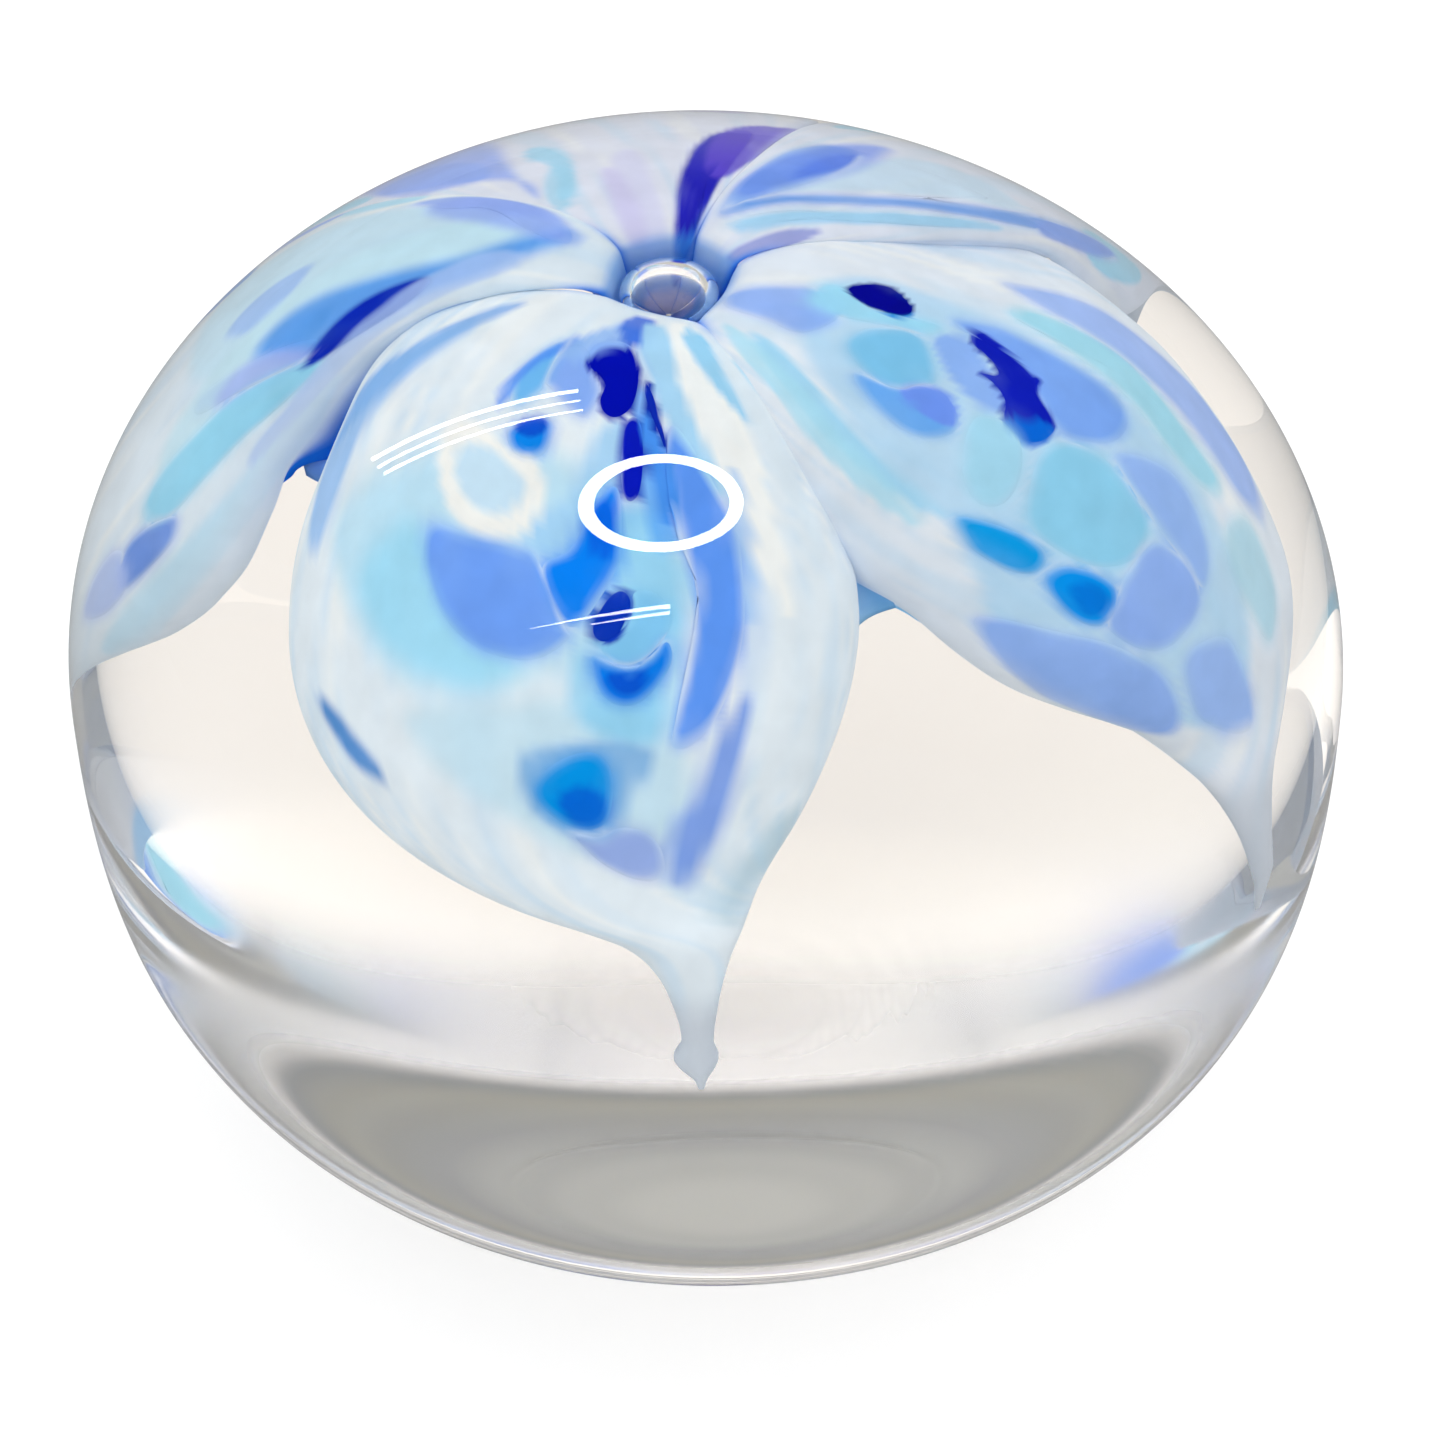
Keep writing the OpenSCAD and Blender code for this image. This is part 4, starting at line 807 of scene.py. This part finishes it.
def card(name, corners, strength):
    """A lamp that only shows as a mirror image in the glass."""
    me = bpy.data.meshes.new(name)
    verts, polys = corners
    me.from_pydata([tuple(np.array(v) * MM) for v in verts], [], polys)
    ob = bpy.data.objects.new(name, me)
    bpy.context.scene.collection.objects.link(ob)
    me.materials.append(emitter_material(name, strength))
    ob.visible_camera = ob.visible_diffuse = ob.visible_transmission = ob.visible_shadow = ob.visible_volume_scatter = False
    return ob


def unit(v):
    v = np.array(v, float)
    return v / np.linalg.norm(v)


def ring_lamp(name, c, ax, outer, inner, strength, n=64):
    ax = unit(ax)
    u = unit(np.array([1, 0, 0]) - ax[0] * ax)
    w = np.cross(ax, u)
    c = np.array(c, float)
    vs = []
    for (ox, oy, rx, ry) in (outer, inner):
        vs += [c + u * (ox + rx * math.cos(t)) + w * (oy + ry * math.sin(t)) for t in np.arange(n) * 2 * math.pi / n]
    fs = [(j, (j + 1) % n, n + (j + 1) % n, n + j) for j in range(n)]
    return card(name, (vs, fs), strength)


def bar_lamp(name, a, b, width, taper, strength):
    a, b = np.array(a, float), np.array(b, float)
    d = unit(b - a)
    w = unit(np.cross(d, (a + b) / 2))
    return card(name, ([a - w * width * taper / 2, a + w * width * taper / 2, b + w * width / 2, b - w * width / 2], [(0, 1, 2, 3)]), strength)


ring_lamp("ring_lamp", (-54, -5, 656), (-0.086, 0.029, 0.996), (-0.6, 0, 119, 97), (1.2, 0.9, 97, 78), 26)
bar_lamp("bar_lamp_1", (-419, 197, 478), (-152, 231, 607), 7, 1.1, 24)
bar_lamp("bar_lamp_2", (-416, 178, 488), (-152, 212, 616), 3.5, 1.6, 24)
bar_lamp("bar_lamp_3", (-413, 161, 497), (-150, 193, 625), 3.5, 1.8, 24)
bar_lamp("bar_lamp_4", (-266, -219, 573), (-46, -209, 637), 9, 0.15, 20)
bar_lamp("bar_lamp_5", (-170, -229, 597), (-47, -222, 632), 7, 0.3, 20)

scene = bpy.context.scene
world = bpy.data.worlds.new("studio")
scene.world = world
world.use_nodes = True
bg = world.node_tree.nodes["Background"]
wt = world.node_tree
tc = wt.nodes.new("ShaderNodeTexCoord")
sx = wt.nodes.new("ShaderNodeSeparateXYZ")
wt.links.new(tc.outputs["Generated"], sx.inputs[0])


def by_height(lo, hi, v0, v1):
    n = wt.nodes.new("ShaderNodeMapRange")
    n.interpolation_type = "SMOOTHSTEP"
    n.inputs["From Min"].default_value, n.inputs["From Max"].default_value = lo, hi
    n.inputs["To Min"].default_value, n.inputs["To Max"].default_value = v0, v1
    wt.links.new(sx.outputs["Z"], n.inputs["Value"])
    return n.outputs["Result"]


# the light that falls on things comes from overhead; what mirrors in the glass is a pale horizon
lit = by_height(0.15, 0.8, 1.15, 1.75)
mirrored = by_height(0.05, 0.4, 0.30, 0.03)
lp = wt.nodes.new("ShaderNodeLightPath")
pick = wt.nodes.new("ShaderNodeMix")
bounce = wt.nodes.new("ShaderNodeMath")      # a mirror image, and not light that came through the glass
bounce.operation = "SUBTRACT"
bounce.use_clamp = True
wt.links.new(lp.outputs["Is Glossy Ray"], bounce.inputs[0])
wt.links.new(lp.outputs["Is Transmission Ray"], bounce.inputs[1])
wt.links.new(bounce.outputs["Value"], pick.inputs["Factor"])
wt.links.new(lit, pick.inputs["A"])
wt.links.new(mirrored, pick.inputs["B"])
wt.links.new(pick.outputs["Result"], bg.inputs["Strength"])
bg.inputs["Color"].default_value = (1, 1, 1, 1)

cam_data = bpy.data.cameras.new("camera")
cam = bpy.data.objects.new("camera", cam_data)
scene.collection.objects.link(cam)
E = math.radians(38)
target = Vector((0, 0, 0.027))
cam.location = target + Vector((0, -math.cos(E), math.sin(E))) * 0.25
cam.rotation_euler = (target - cam.location).to_track_quat("-Z", "Y").to_euler()
cam_data.sensor_width = 36
cam_data.lens = 96.8
cam_data.shift_x, cam_data.shift_y = 0.0105, -0.0085
cam_data.clip_start, cam_data.clip_end = 0.01, 20
scene.camera = cam

scene.view_settings.view_transform = "Standard"
scene.view_settings.look = "None"
scene.cycles.max_bounces = 64
scene.cycles.transmission_bounces = 64
scene.cycles.glossy_bounces = 64
scene.cycles.diffuse_bounces = 6
scene.cycles.use_denoising = True
